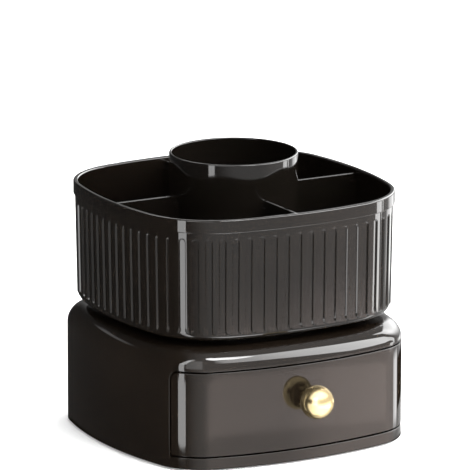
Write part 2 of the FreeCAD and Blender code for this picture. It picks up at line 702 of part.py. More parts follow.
half_root = math.sqrt(0.5)
diag = (D["race_screw_rad"] * half_root, "dims.race_screw_rad * sqrt(0.5)")
sk = new_sketch(b, "tray_boss_outline", height=lin("tray_floor"))
circle(sk, diag, diag, lin("race_boss_rad"))
f = pad(b, "tray_boss", sk, lin("tray_boss_top", "-tray_floor"))
f = polar(b, "tray_bosses", f, (4, "4"))
sk = new_sketch(b, "tray_pilot_outline", height=lin("tray_bottom"))
circle(sk, diag, diag, lin("screw_rad"))
f = pocket(b, "tray_pilot", sk, lin("tray_boss_top", "-tray_bottom", -1.2), reverse=True)
f = polar(b, "tray_pilots", f, (4, "4"))
# pairs of guide ribs on the wall for the four dividers; their outer ends run into the wall
rib_in = lin("tray_half", "-wall_in_low", "-tray_wall", "-guide_deep")
rib_out = lin("tray_half", "-wall_in_low", "-flute_deep", 0.04)
y0 = (D["divider_thick"] / 2 + D["slot_gap"], "dims.divider_thick / 2 + dims.slot_gap")
y1 = (y0[0] + D["guide_rib"], y0[1] + " + dims.guide_rib")
sk = new_sketch(b, "guide_outline", height=lin("tray_floor", 8))
rect(sk, rib_in, rib_out, y0, y1)
rect(sk, rib_in, rib_out, neg(y1), neg(y0))
f = pad(b, "guide_pair", sk, lin("guide_top", "-tray_floor", -8))
f = polar(b, "guide_pairs", f, (4, "4"))
wall_body = b

# ---- the ribs: a band proud of the wall, with an arched flute cut through it between each two ribs
rise = (D["wall_in_low"] - D["wall_in_top"]) / (D["collar_low"] - D["tray_bottom"])
slope = "(dims.wall_in_low - dims.wall_in_top) / (dims.collar_low - dims.tray_bottom)"
at_low = (
    D["wall_in_low"] - rise * (D["rib_low"] - D["tray_bottom"]),
    "dims.wall_in_low - " + slope + " * (dims.rib_low - dims.tray_bottom)",
)
b = new_body("rib_band_body")
sk = new_sketch(b, "rib_band_outline", height=lin("rib_low"))
bowed_square(sk, "tray", at_low)
f = pad(b, "rib_band_block", sk, lin("collar_low", "-rib_low", 0.5), taper=taper)
sk = new_sketch(b, "rib_band_inside_outline", height=lin("rib_low"))
bowed_square(sk, "tray", (at_low[0] + D["flute_deep"] + 0.6, at_low[1] + " + dims.flute_deep + 0.6"))
f = pocket(b, "rib_band_inside", sk, lin("collar_low", "-rib_low", 1.0), reverse=True, taper=taper)
band = b

side, corner = D["tray_side_rad"], D["tray_corner_rad"]
d = side - D["tray_half"]
c = (-d + math.sqrt(2 * (side - corner) ** 2 - d * d)) / 2
th = math.atan2(c, c + d)
mid_in = (D["wall_in_low"] + D["wall_in_top"]) / 2
spans = [(th, side - mid_in), (math.pi / 2 - 2 * th, corner - mid_in), (th, side - mid_in)]
quarter = sum(a * r for a, r in spans)
count = int(D["flute_count"])
pitch = 4 * quarter / count


def normal_at(s):
    """Angle of the wall's normal at an arc length from the middle of the +X side."""
    q, s = divmod(s, quarter)
    phi = q * math.pi / 2
    for a, r in spans:
        if s <= a * r:
            return phi + s / r
        s -= a * r
        phi += a
    return phi


# profile of one flute, seen from outside: arched above, and opening out below round the ends of its two ribs
half_w, half_p = D["flute_wide"] / 2, pitch / 2
rib_r = half_p - half_w
flat = 0.6
z_low, z_arch = D["rib_low"], D["flute_top"] - half_w
z_round = z_low + math.sqrt(rib_r**2 - flat**2)
low = half_p - flat


def flute_wire():
    P = lambda x, z: FreeCAD.Vector(0, x, z)
    side_mid = lambda sgn: P(sgn * (half_p - rib_r * math.cos(math.radians(38))), z_round - rib_r * math.sin(math.radians(38)))
    edges = [
        Part.LineSegment(P(-low, z_low - 1), P(low, z_low - 1)),
        Part.LineSegment(P(low, z_low - 1), P(low, z_low)),
        Part.Arc(P(low, z_low), side_mid(1), P(half_w, z_round)),
        Part.LineSegment(P(half_w, z_round), P(half_w, z_arch)),
        Part.Arc(P(half_w, z_arch), P(0, D["flute_top"]), P(-half_w, z_arch)),
        Part.LineSegment(P(-half_w, z_arch), P(-half_w, z_round)),
        Part.Arc(P(-half_w, z_round), side_mid(-1), P(-low, z_low)),
        Part.LineSegment(P(-low, z_low), P(-low, z_low - 1)),
    ]
    return Part.Wire([e.toShape() for e in edges])


profile = doc.addObject("Part::Feature", "flute_profile")
profile.Shape = Part.Face(flute_wire())
cutter = doc.addObject("Part::Extrusion", "flute_cutter")
cutter.Base = profile
cutter.DirMode = "Custom"
cutter.Dir = FreeCAD.Vector(1, 0, 0)
cutter.LengthFwd = 6.5
cutter.Solid = True
doc.recompute()
flutes = []
for k in range(count):
    phi = normal_at((k + 0.5) * pitch)
    q = math.floor((phi + th) / (math.pi / 2))
    a = q * math.pi / 2
    ca, sa = math.cos(a), math.sin(a)
    if phi - a <= th:
        cx, cy, r = -d * ca, -d * sa, side
    else:
        cx, cy, r = c * (ca - sa), c * (sa + ca), corner
    r -= 5.2
    link = doc.addObject("App::Link", "flute_%02d" % k)
    link.LinkedObject = cutter
    link.Placement = FreeCAD.Placement(
        FreeCAD.Vector(cx + r * math.cos(phi), cy + r * math.sin(phi), 0),
        FreeCAD.Rotation(FreeCAD.Vector(0, 0, 1), math.degrees(phi)),
    )
    flutes.append(link)
doc.recompute()
ribs = cut("tray_ribs", band, group("flutes", flutes))
node(fuse("rotating_tray", wall_body, ribs), "rotating_tray")

# ---- brush_cup: round cup pressed over the tray's ring, with guide ribs for the dividers' inner edges
b = new_body("brush_cup_body")
sk = new_sketch(b, "cup_profile", "XZ_Plane")
ri, ro = lin("cup_rad", "-cup_wall"), lin("cup_rad")
polygon(
    sk,
    [
        (ri, lin("tray_floor")), (ro, lin("tray_floor")), (ro, lin("cup_top")), (ri, lin("cup_top")),
        (ri, lin("cup_floor_top")), (ZERO, lin("cup_floor_top")), (ZERO, lin("cup_floor_low")), (ri, lin("cup_floor_low")),
    ],
)
f = revolve(b, "cup_turned", sk)
f = dress(b, "cup_rim", f, "Fillet", edges_where(f.Shape, flat_at(D["cup_top"])), lin("cup_wall", -1.1))
sk = new_sketch(b, "cup_guide_outline", height=lin("tray_floor"))
rect(sk, lin("cup_rad", -1.0), lin("cup_rad", "guide_deep"), y0, y1)
rect(sk, lin("cup_rad", -1.0), lin("cup_rad", "guide_deep"), neg(y1), neg(y0))
f = pad(b, "cup_guide_pair", sk, lin("guide_top", "-tray_floor"))
f = polar(b, "cup_guide_pairs", f, (4, "4"))
node(b, "brush_cup")

# ---- four dividers: thin plates from the cup to the wall, whose outer edge follows the wall's taper
for name, deg in (("right", 0), ("rear", 90), ("left", 180), ("front", 270)):
    b = new_body("divider_%s_body" % name)
    sk = new_sketch(b, "divider_%s_profile" % name, "XZ_Plane")
    x_in = lin("cup_rad", 0.1)
    x_low = lin("tray_half", "-wall_in_low", "-tray_wall", -0.35)
    x_foot = lin("tray_half", "-wall_in_low", "-tray_wall", "-tray_inner_rad", -0.3)
    z_foot = lin("tray_floor", "tray_inner_rad")
    dz = D["divider_top"] - D["tray_bottom"]
    x_top = (x_low[0] + rise * dz, x_low[1] + " + " + slope + " * (dims.divider_top - dims.tray_bottom)")
    polygon(
        sk,
        [(x_in, lin("tray_floor", 0.05)), (x_foot, lin("tray_floor", 0.05)), (x_low, z_foot), (x_top, lin("divider_top")), (x_in, lin("divider_top"))],
    )
    f = pad(b, "divider_%s_plate" % name, sk, lin("divider_thick"), mid=True)
    b.Placement = FreeCAD.Placement(FreeCAD.Vector(0, 0, 0), FreeCAD.Rotation(FreeCAD.Vector(0, 0, 1), deg))
    node(b, "divider_%s" % name)

# ---- pivot screw and washer: they hold the hub down through the base
wz = lin("hub_bottom", "-washer_thick")
w = cyl("washer_disc", lin("washer_rad"), lin("washer_thick"), (ZERO, ZERO, wz))
h = cyl("washer_hole", lin("pivot_screw_rad", 0.15), lin("washer_thick", 2.0), (ZERO, ZERO, lin("hub_bottom", "-washer_thick", -1.0)))
node(cut("pivot_washer", w, h), "pivot_washer")
head = cyl("pivot_head", lin("pivot_head_rad"), lin("pivot_head_thick"), (ZERO, ZERO, lin("hub_bottom", "-washer_thick", "-pivot_head_thick")))
shank = cyl("pivot_shank", lin("pivot_screw_rad"), lin("pivot_screw_top", "-hub_bottom", "washer_thick"), (ZERO, ZERO, wz))
node(fuse("pivot_screw", head, shank), "pivot_screw")

# ================================================================ DRAWER
d_c = D["base_side_rad"] - D["base_half"]  # the front's centre of curvature lies this far behind the axis
face_z = lin("lip_top", "seam_gap")
front_top = lin("opening_top", "-seam_gap")
# ---- drawer_front: curved panel that wraps round both corners
b = new_body("drawer_front_body")
sk = new_sketch(b, "front_outline", height=face_z)
bowed_square(sk, "base")
f = pad(b, "front_block", sk, lin("opening_top", "-lip_top", "-seam_gap", "-seam_gap"))
sk = new_sketch(b, "front_inside", height=front_top)
bowed_square(sk, "base", lin("front_thick"))
f = pocket(b, "front_hollow", sk, lin("opening_top"))
sk = new_sketch(b, "front_ends", "YZ_Plane")
yb, r_o = -D["opening_back"] - D["seam_gap"], D["opening_rad"] - D["seam_gap"]
zt, low, high, far = front_top[0], face_z[0] - 5, front_top[0] + 5, D["base_half"] + 20
for x in [
    Part.LineSegment(V(yb, low), V(yb, zt - r_o)),
    Part.ArcOfCircle(Part.Circle(V(yb - r_o, zt - r_o), FreeCAD.Vector(0, 0, 1), r_o), 0, math.pi / 2),
    Part.LineSegment(V(yb - r_o, zt), V(yb - r_o, high)),
    Part.LineSegment(V(yb - r_o, high), V(far, high)),
    Part.LineSegment(V(far, high), V(far, low)),
    Part.LineSegment(V(far, low), V(yb, low)),
]:
    sk.addGeometry(x, False)
for i, p, j, q in ((2, 2, 3, 1), (3, 2, 4, 1), (4, 2, 5, 1), (5, 2, 0, 1), (1, 2, 2, 1)):
    sk.addConstraint(Sketcher.Constraint("Coincident", i, p, j, q))
sk.addConstraint(Sketcher.Constraint("Tangent", 0, 2, 1, 1))
sk.addConstraint(Sketcher.Constraint("Vertical", 0))
sk.addConstraint(Sketcher.Constraint("Vertical", 2))
sk.addConstraint(Sketcher.Constraint("Vertical", 4))
sk.addConstraint(Sketcher.Constraint("Horizontal", 3))
sk.addConstraint(Sketcher.Constraint("Horizontal", 5))
drive(sk, sk.addConstraint(Sketcher.Constraint("Radius", 1, r_o)), lin("opening_rad", "-seam_gap"))
pin_point(sk, 0, 1, neg(lin("opening_back", "seam_gap")), lin("lip_top", "seam_gap", -5))
pin_point(sk, 2, 1, neg(lin("opening_back", "opening_rad")), front_top)
pin_point(sk, 3, 2, lin("base_half", 20), lin("opening_top", "-seam_gap", 5))
f = pocket(b, "front_behind", sk, lin("base_half", "base_half", 20), mid=True)
front_body = b


def radial(deg):
    return ((0.0, d_c), deg)


back = (0, -1, 0)
inner_r = lin("base_side_rad", "-front_thick", "-box_wall")  # inner face of the drawer box's front wall
y_inner = (d_c - inner_r[0], "dims.base_side_rad - dims.base_half - (" + inner_r[1] + ")")
tools = [
    cyl("front_knob_hole", lin("knob_hole_rad"), lin("front_thick", 4.0),
        (ZERO, neg(lin("base_half", "-front_thick", -2.0)), lin("knob_height")), back)
]
for i, s in enumerate((-1, 1)):
    y_face = (d_c - (D["base_side_rad"] - D["front_thick"]), "0")
    tools.append(
        cyl("front_pilot_%d" % i, lin("screw_rad"), lin("front_thick", -0.3),
            (ZERO, (y_face[0] + 0.5, "0"), lin("front_screw_height")), back, spin=radial(s * D["front_screw_deg"]))
    )
node(cut("drawer_front", front_body, group("front_tools", tools)), "drawer_front")

# ---- drawer_box: open box whose front wall lies against the curved front
b = new_body("drawer_box_body")
sk = new_sketch(b, "box_outline", height=lin("box_bottom"))
rect(sk, neg(lin("box_half")), lin("box_half"), neg(lin("base_half", 10)), lin("box_back"))
f = pad(b, "box_block", sk, lin("box_top", "-box_bottom"))
sk = new_sketch(b, "box_front_trim", height=lin("box_top"))
bowed_square(sk, "base", lin("front_thick"))
rect(sk, neg(lin("base_half", 40)), lin("base_half", 40), neg(lin("base_half", 40)), lin("base_half", 40))
f = pocket(b, "box_trim", sk, lin("box_top"))
rear = edges_where(
    f.Shape,
    lambda e: abs(e.BoundBox.YMin - D["box_back"]) < 1e-3 and abs(e.BoundBox.YMax - D["box_back"]) < 1e-3 and e.BoundBox.ZLength > 10,
)
f = dress(b, "box_rear_corners", f, "Fillet", rear, lin("box_corner_rad"))
top_face = ["Face%d" % (i + 1) for i, x in enumerate(f.Shape.Faces) if abs(x.BoundBox.ZMin - D["box_top"]) < 1e-4]
solid_volume = f.Shape.Volume
t = b.newObject("PartDesign::Thickness", "box_hollow")
t.Base = (f, top_face)
t.Mode = 0
t.Join = 0
t.Reversed = True
bind(t, "Value", lin("box_wall"))
doc.recompute()
if not t.Shape.Volume < 0.3 * solid_volume:
    raise RuntimeError("the drawer box is not hollow")
sk = new_sketch(b, "tab_outline", height=lin("tab_low"))
rect(sk, neg(lin("tab_half")), lin("tab_half"), lin("tab_front"), lin("tab_front", 3.0))
f = pad(b, "stop_tab", sk, lin("box_bottom", "-tab_low", 0.5))
box_body = b
tools = [
    cyl("box_knob_hole", lin("knob_hole_rad"), lin("box_wall", 4.0),
        (ZERO, (y_inner[0] + 2.0, y_inner[1] + " + 2"), lin("knob_height")), back)
]
for i, s in enumerate((-1, 1)):
    tools.append(
        cyl("box_hole_%d" % i, lin("screw_hole_rad"), lin("box_wall", 4.0),
            (ZERO, (y_inner[0] + 2.0, "0"), lin("front_screw_height")), back, spin=radial(s * D["front_screw_deg"]))
    )
node(cut("drawer_box", box_body, group("box_tools", tools)), "drawer_box")

parts = []
for i, s in enumerate((-1, 1)):
    spin = radial(s * D["front_screw_deg"])
    seat = (ZERO, (y_inner[0] + 0.05, "0"), lin("front_screw_height"))
    parts.append(
        fuse(
            "front_screw_%d" % i,
            cyl("front_screw_shank_%d" % i, lin("screw_rad"), lin("box_wall", 2.1), seat, back, spin=spin),
            cyl("front_screw_head_%d" % i, lin("front_head_rad"), lin("front_head_thick"), seat, (0, 1, 0), spin=spin),
        )
    )
node(group("drawer_front_screws", parts), "drawer_front_screws")

# ---- drawer_knob: ball and neck turned in one piece, held by a screw from inside the drawer
ball = doc.addObject("Part::Sphere", "knob_ball")
bind(ball, "Radius", lin("knob_rad"))
place(ball, (ZERO, neg(lin("knob_out")), lin("knob_height")), (0, 0, 1), None)
neck = cyl("knob_neck", lin("neck_rad"), lin("knob_out", "-base_half"), (ZERO, neg(lin("base_half")), lin("knob_height")), back)
bore = cyl("knob_bore", lin("knob_screw_rad"), lin("knob_screw_long", -3.5), (ZERO, neg(lin("base_half", -0.5)), lin("knob_height")), back)
node(cut("drawer_knob", fuse("knob_solid", ball, neck), bore), "drawer_knob")
seat = (ZERO, (y_inner[0] + 0.03, y_inner[1] + " + 0.03"), lin("knob_height"))
k_head = cyl("knob_screw_head", lin("knob_head_rad"), lin("knob_head_thick"), seat, (0, 1, 0))
k_shank = cyl("knob_screw_shank", lin("knob_screw_rad"), lin("knob_screw_long"), seat, back)
node(fuse("knob_screw", k_head, k_shank), "knob_screw")

# ================================================================ CHECK AND WRITE
doc.recompute()
bad = []
for o in doc.Objects:
    state = [str(x) for x in o.State]
    if "Invalid" in state or "Error" in state:
        bad.append("%s: %s" % (o.Name, state))
    if o.TypeId == "Sketcher::SketchObject" and o.solve() != 0:
        bad.append("%s: sketch does not solve" % o.Name)
for label, o in NODES:
    s = o.Shape
    if s.isNull() or not s.isValid() or not s.Solids:
        bad.append("%s: bad shape" % label)
if bad:
    raise RuntimeError("\n".join(bad))

os.makedirs("parts", exist_ok=True)
for label, o in NODES:
    s = o.Shape
    s.exportStep("parts/%s.step" % label)
    bb = s.BoundBox
    print(
        "%-24s solids %2d  vol %10.1f  x %7.2f %7.2f  y %7.2f %7.2f  z %7.2f %7.2f"
        % (label, len(s.Solids), s.Volume, bb.XMin, bb.XMax, bb.YMin, bb.YMax, bb.ZMin, bb.ZMax)
    )
print(len(NODES), "nodes")
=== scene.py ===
import json
import math

import bpy
import numpy as np
from mathutils import Matrix, Vector
from mathutils.geometry import delaunay_2d_cdt

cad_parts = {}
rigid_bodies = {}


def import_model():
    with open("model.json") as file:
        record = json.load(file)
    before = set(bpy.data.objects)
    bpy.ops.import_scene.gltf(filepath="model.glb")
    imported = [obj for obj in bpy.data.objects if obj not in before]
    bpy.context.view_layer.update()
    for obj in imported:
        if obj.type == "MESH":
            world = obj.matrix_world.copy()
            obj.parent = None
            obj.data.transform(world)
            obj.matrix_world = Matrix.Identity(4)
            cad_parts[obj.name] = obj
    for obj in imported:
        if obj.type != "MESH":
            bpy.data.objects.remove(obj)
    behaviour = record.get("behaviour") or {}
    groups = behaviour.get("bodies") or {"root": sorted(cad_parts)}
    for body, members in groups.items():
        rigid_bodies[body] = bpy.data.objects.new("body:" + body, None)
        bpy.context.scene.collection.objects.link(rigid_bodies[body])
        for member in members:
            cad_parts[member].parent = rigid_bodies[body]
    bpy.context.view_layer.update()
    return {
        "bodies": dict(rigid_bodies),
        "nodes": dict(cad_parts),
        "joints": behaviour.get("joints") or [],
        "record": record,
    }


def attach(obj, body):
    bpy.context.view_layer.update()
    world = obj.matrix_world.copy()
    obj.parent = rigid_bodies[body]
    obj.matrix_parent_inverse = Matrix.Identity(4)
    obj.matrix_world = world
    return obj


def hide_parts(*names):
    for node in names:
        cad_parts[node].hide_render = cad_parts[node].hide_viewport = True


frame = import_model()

MM = 0.001
PI = math.pi

# ---------------------------------------------------------------- camera
AZ, EL = math.radians(-29.26), math.radians(13.51)
DIST, FOCAL_PX, TX, TZ = 4.5, 6036.49, 1.09 * MM, 146.86 * MM
back = Vector((math.sin(AZ) * math.cos(EL), -math.cos(AZ) * math.cos(EL), math.sin(EL)))
right = Vector((math.cos(AZ), math.sin(AZ), 0))
up = back.cross(right)
cam_data = bpy.data.cameras.new("camera")
cam_data.sensor_width = 36.0
cam_data.lens = FOCAL_PX / 470 * 36.0
cam_data.clip_start, cam_data.clip_end = 0.1, 60.0
cam = bpy.data.objects.new("camera", cam_data)
bpy.context.scene.collection.objects.link(cam)
rot = Matrix((right, up, back)).transposed()
cam.matrix_world = Matrix.Translation(Vector((0, 0, TZ)) + right * TX + back * DIST) @ rot.to_4x4()
bpy.context.scene.camera = cam


# ---------------------------------------------------------------- plan outlines
class Plan:
    """Bowed square of tangent arcs, in mm. A point is given by the angle of its outward normal and an inset."""

    def __init__(self, half, side, corner):
        self.half, self.side, self.corner = half, side, corner
        self.d = side - half
        self.c = (-self.d + math.sqrt(2 * (side - corner) ** 2 - self.d ** 2)) / 2
        self.th = math.atan2(self.c, self.c + self.d)

    def parts(self, phi):
        """Centre and radius of the arc that each normal angle belongs to."""
        phi = np.mod(phi, 2 * PI)
        q = np.floor((phi + self.th) / (PI / 2)).astype(int) % 4
        a = q * PI / 2
        rel = np.mod(phi - a + PI, 2 * PI) - PI
        side = rel <= self.th + 1e-12
        ca, sa = np.cos(a), np.sin(a)
        cx = np.where(side, -self.d * ca, self.c * (ca - sa))
        cy = np.where(side, -self.d * sa, self.c * (sa + ca))
        return cx, cy, np.where(side, self.side, self.corner)

    def at(self, phi, inset):
        cx, cy, r = self.parts(phi)
        return cx + (r - inset) * np.cos(phi), cy + (r - inset) * np.sin(phi)

    def tables(self, inset=0.0):
        """Breakpoints of normal angle against arc length, from the middle of the +X side."""
        phi, s = [0.0], [0.0]
        for q in range(4):
            for span, r in ((self.th, self.side), (PI / 2 - 2 * self.th, self.corner), (self.th, self.side)):
                phi.append(phi[-1] + span)
                s.append(s[-1] + span * (r - inset))
        return np.array(phi), np.array(s)

    def phi_of(self, s, inset=0.0):
        p, t = self.tables(inset)
        n = t[-1]
        k = np.floor(np.asarray(s) / n)
        return np.interp(np.asarray(s) - k * n, t, p) + k * 2 * PI

    def s_of(self, phi, inset=0.0):
        p, t = self.tables(inset)
        k = np.floor(np.asarray(phi) / (2 * PI))
        return np.interp(np.asarray(phi) - k * 2 * PI, p, t) + k * t[-1]


BASE = Plan(110.0, 304.0, 40.0)
TRAY = Plan(108.3, 293.0, 61.4)


# ---------------------------------------------------------------- mesh building
class Mesh:
    """Gathers vertices with their own normals, and faces. Points that coincide are joined; each face corner keeps its normal."""

    def __init__(self):
        self.v, self.n, self.f, self.count = [], [], {3: [], 4: []}, 0

    def add(self, v, n, f):
        v, n = np.asarray(v, float).reshape(-1, 3), np.asarray(n, float).reshape(-1, 3)
        self.v.append(v)
        self.n.append(n / np.maximum(np.linalg.norm(n, axis=1, keepdims=True), 1e-12))
        f = np.asarray(f, int)
        if len(f):
            self.f[f.shape[1]].append(f + self.count)
        self.count += len(v)

    def grid(self, v, n, wrap=True):
        """v, n: rows x columns x 3."""
        rows, cols = v.shape[:2]
        j = np.arange(rows - 1)[:, None]
        i = np.arange(cols if wrap else cols - 1)[None, :]
        i2 = (i + 1) % cols
        self.add(v, n, np.stack([j * cols + i, j * cols + i2, (j + 1) * cols + i2, (j + 1) * cols + i], -1).reshape(-1, 4))

    def fan(self, ring, n, centre=None):
        m = len(ring)
        c = ring.mean(0) if centre is None else centre
        v = np.vstack([ring, [c]])
        i = np.arange(m)
        self.add(v, np.broadcast_to(n, v.shape), np.stack([i, (i + 1) % m, np.full(m, m)], -1))

    def cap(self, ring, n, rings=3, centre=None):
        """Flat cover of a ring, in shrinking rings."""
        c = ring.mean(0) if centre is None else np.asarray(centre, float)
        t = np.linspace(0, 1, rings + 2)[:-1][:, None, None]
        v = ring[None] * (1 - t) + c * t
        self.grid(v, np.broadcast_to(n, v.shape))
        self.fan(v[-1], n, c)

    def zip(self, a, b, n):
        """Flat strip between two rings with different numbers of points, both running the same way from the same side."""
        la, lb = len(a), len(b)
        pa = np.unwrap(np.arctan2(a[:, 1], a[:, 0]))
        pb = np.unwrap(np.arctan2(b[:, 1], b[:, 0]))
        pb = pb + 2 * PI * round((pa[0] - pb[0]) / (2 * PI))
        i, j, tris = 0, 0, []
        while i < la or j < lb:
            na = pa[(i + 1) % la] + (2 * PI if i + 1 >= la else 0)
            nb = pb[(j + 1) % lb] + (2 * PI if j + 1 >= lb else 0)
            if j >= lb or (i < la and na <= nb):
                tris.append((i % la, (i + 1) % la, la + j % lb))
                i += 1
            else:
                tris.append((i % la, la + (j + 1) % lb, la + j % lb))
                j += 1
        v = np.vstack([a, b])
        self.add(v, np.broadcast_to(n, v.shape), tris)

    def object(self, name, mat):
        v, n = np.vstack(self.v), np.vstack(self.n)
        root = np.arange(len(v))
        for shift in (0.0, 0.5):
            k = np.floor(v / 0.00731 + 0.5 + shift).astype(np.int64)
            _, first, inv = np.unique(k, axis=0, return_index=True, return_inverse=True)
            root = np.minimum(root, first[inv.ravel()])
        for _ in range(6):
            root = root[root]
        keep, new = np.unique(root, return_inverse=True)
        new = new.ravel()
        v2 = v[keep]
        polys = []
        for size in (3, 4):
            if not self.f[size]:
                continue
            f = np.vstack(self.f[size])
            g = new[f]
            for face, old in zip(g, f):
                ids, olds = [], []
                for a, o in zip(face, old):
                    if not ids or ids[-1] != a:
                        ids.append(int(a)); olds.append(int(o))
                if len(ids) > 1 and ids[0] == ids[-1]:
                    ids.pop(); olds.pop()
                if len(ids) >= 3 and len(set(ids)) == len(ids):
                    polys.append((ids, olds))
        starts = np.cumsum([0] + [len(p[0]) for p in polys])[:-1]
        loops = np.array([i for p in polys for i in p[0]])
        olds = np.array([i for p in polys for i in p[1]])
        sizes = np.array([len(p[0]) for p in polys])
        # winding follows the normals that were asked for
        a, b, c = v2[loops[starts]], v2[loops[starts + 1]], v2[loops[starts + 2]]
        d = v2[loops[starts + sizes - 1]]
        geo = np.cross(c - a, d - b)
        geo[sizes == 3] = np.cross(b - a, c - a)[sizes == 3]
        asked = np.add.reduceat(n[olds], starts, axis=0)
        for k in np.nonzero((geo * asked).sum(1) < 0)[0]:
            s, e = starts[k], starts[k] + sizes[k]
            loops[s:e] = loops[s:e][::-1].copy()
            olds[s:e] = olds[s:e][::-1].copy()
        me = bpy.data.meshes.new(name)
        me.vertices.add(len(v2))
        me.vertices.foreach_set("co", (v2 * MM).astype(np.float32).ravel())
        me.loops.add(len(loops))
        me.loops.foreach_set("vertex_index", loops.astype(np.int32))
        me.polygons.add(len(polys))
        me.polygons.foreach_set("loop_start", starts.astype(np.int32))
        me.polygons.foreach_set("use_smooth", [True] * len(polys))
        me.update(calc_edges=True)
        if me.validate():
            print("NOTE mesh", name, "was repaired")
        else:
            me.normals_split_custom_set(n[olds].tolist())
        me.materials.append(mat)
        me.update()
        ob = bpy.data.objects.new(name, me)
        bpy.context.scene.collection.objects.link(ob)
        return ob


def left(d):
    d = d / np.linalg.norm(d)
    return np.array([-d[1], d[0]])


def run(points, seg=6, closed=False):
    """A run of (x, z, radius) corners, rounded. Returns points and unit normals on the left of travel; a sharp corner gives two normals."""
    pts = [np.array(p[:2], float) for p in points]
    rad = [p[2] if len(p) > 2 else 0.0 for p in points]
    out, nrm, m = [], [], len(points)
    for i in range(m):
        p = pts[i]
        if not closed and i in (0, m - 1):
            d = pts[1] - pts[0] if i == 0 else pts[-1] - pts[-2]
            out.append(p)
            nrm.append(left(d))
            continue
        a, b = pts[i - 1] - p, pts[(i + 1) % m] - p
        ua, ub = a / np.linalg.norm(a), b / np.linalg.norm(b)
        ang = math.acos(float(np.clip(ua @ ub, -1, 1)))
        if ang > PI - 1e-4:
            out.append(p)
            nrm.append(left(b))
            continue
        if rad[i] < 1e-6:
            out += [p, p]
            nrm += [left(-a), left(b)]
            continue
        t = rad[i] / math.tan(ang / 2)
        c = p + (ua + ub) / np.linalg.norm(ua + ub) * (rad[i] / math.sin(ang / 2))
        p0, p1 = p + ua * t, p + ub * t
        a0, a1 = math.atan2(*(p0 - c)[::-1]), math.atan2(*(p1 - c)[::-1])
        da = (a1 - a0 + PI) % (2 * PI) - PI
        sgn = 1.0 if (p0 - c) @ left(-a) > 0 else -1.0
        k = max(2, int(math.ceil(seg * abs(da) / (PI / 2))))
        for j in range(k + 1):
            u = np.array([math.cos(a0 + da * j / k), math.sin(a0 + da * j / k)])
            out.append(c + rad[i] * u)
            nrm.append(sgn * u)
    return np.array(out), np.array(nrm)


def finer(P, N, longest):
    """More points along the straight stretches, so that none is longer than asked."""
    out, nn = [P[0]], [N[0]]
    for a, b, na, nb in zip(P[:-1], P[1:], N[:-1], N[1:]):
        k = max(1, int(math.ceil(np.linalg.norm(b - a) / longest)))
        for j in range(1, k + 1):
            out.append(a + (b - a) * j / k)
            nn.append(na + (nb - na) * j / k)
    return np.array(out), np.array(nn)


def loft(mesh, XY, U, P, N):
    """Sweeps a profile of (inset, z) round an outline of points XY with outward normals U. The profile's normal is (inward, up)."""
    ins, z = P[:, 0][:, None, None], P[:, 1][:, None]
    xy = XY[None] - ins * U[None]
    v = np.concatenate([xy, np.broadcast_to(z[..., None], xy.shape[:2] + (1,))], -1)
    n = np.concatenate([-N[:, 0][:, None, None] * U[None], np.broadcast_to(N[:, 1][:, None, None], xy.shape[:2] + (1,))], -1)
    mesh.grid(v, n)
    return v[0], v[-1]


def spin(mesh, angles, P, N, centre=(0, 0), frame=None):
    """Turns a profile of (radius, z) about an upright axis, or about the axis of a 3x3 frame."""
    co, si = np.cos(angles), np.sin(angles)
    v = np.stack([P[:, 0][:, None] * co, P[:, 0][:, None] * si, P[:, 1][:, None] + 0 * co], -1)
    n = np.stack([N[:, 0][:, None] * co, N[:, 0][:, None] * si, N[:, 1][:, None] + 0 * co], -1)
    if frame is not None:
        v, n = v @ frame.T, n @ frame.T
    v = v + np.array([centre[0], centre[1], centre[2] if len(centre) > 2 else 0.0])
    mesh.grid(v, n)
    return v[0], v[-1]


def bridge(mesh, ring, r, z, up, rows=5):
    """Flat stretch between an outline ring and a circle about the axis, with as many points. Returns their angles."""
    a = np.arctan2(ring[:, 1], ring[:, 0])
    circ = np.stack([r * np.cos(a), r * np.sin(a), np.full(len(ring), z)], -1)
    t = np.linspace(0, 1, rows + 1)[:, None, None]
    v = ring[None] * (1 - t) + circ[None] * t
    mesh.grid(v, np.broadcast_to([0, 0, up], v.shape))
    return a


def column_s(plan, side_step, corner_step):
    """Arc lengths of evenly spread columns, with one at the middle of each side."""
    s, at = [], 0.0
    for q in range(4):
        for span, r, step in ((plan.th, plan.side, side_step), (PI / 2 - 2 * plan.th, plan.corner, corner_step), (plan.th, plan.side, side_step)):
            k = max(2, 2 * int(round(span * r / step / 2)))
            s += list(at + span * r * np.arange(k) / k)
            at += span * r
    return np.array(s), at


def plan_xy(plan, s, inset=0.0):
    phi = plan.phi_of(s)
    x, y = plan.at(phi, inset)
    return np.stack([x, y], -1), np.stack([np.cos(phi), np.sin(phi)], -1)


def skin(plan):
    """Maps (s, z, inset) on the plan's wall to a point, its outward normal and its tangent along s."""
    def f(s, z, inset):
        xy, u = plan_xy(plan, s, inset)
        return (np.column_stack([xy, z]), np.column_stack([u, 0 * z]), np.column_stack([-u[:, 1], u[:, 0], 0 * z]))
    return f


def flat_skin(origin, along, up_, out):
    """The same for a flat plate: s runs along, z runs up, inset runs inward from the face."""
    origin, along, up_, out = (np.array(x, float) for x in (origin, along, up_, out))
    def f(s, z, inset):
        s, z = np.asarray(s, float), np.asarray(z, float)
        p = origin + s[:, None] * along + z[:, None] * up_ - inset * out
        return p, np.broadcast_to(out, p.shape), np.broadcast_to(along, p.shape)
    return f


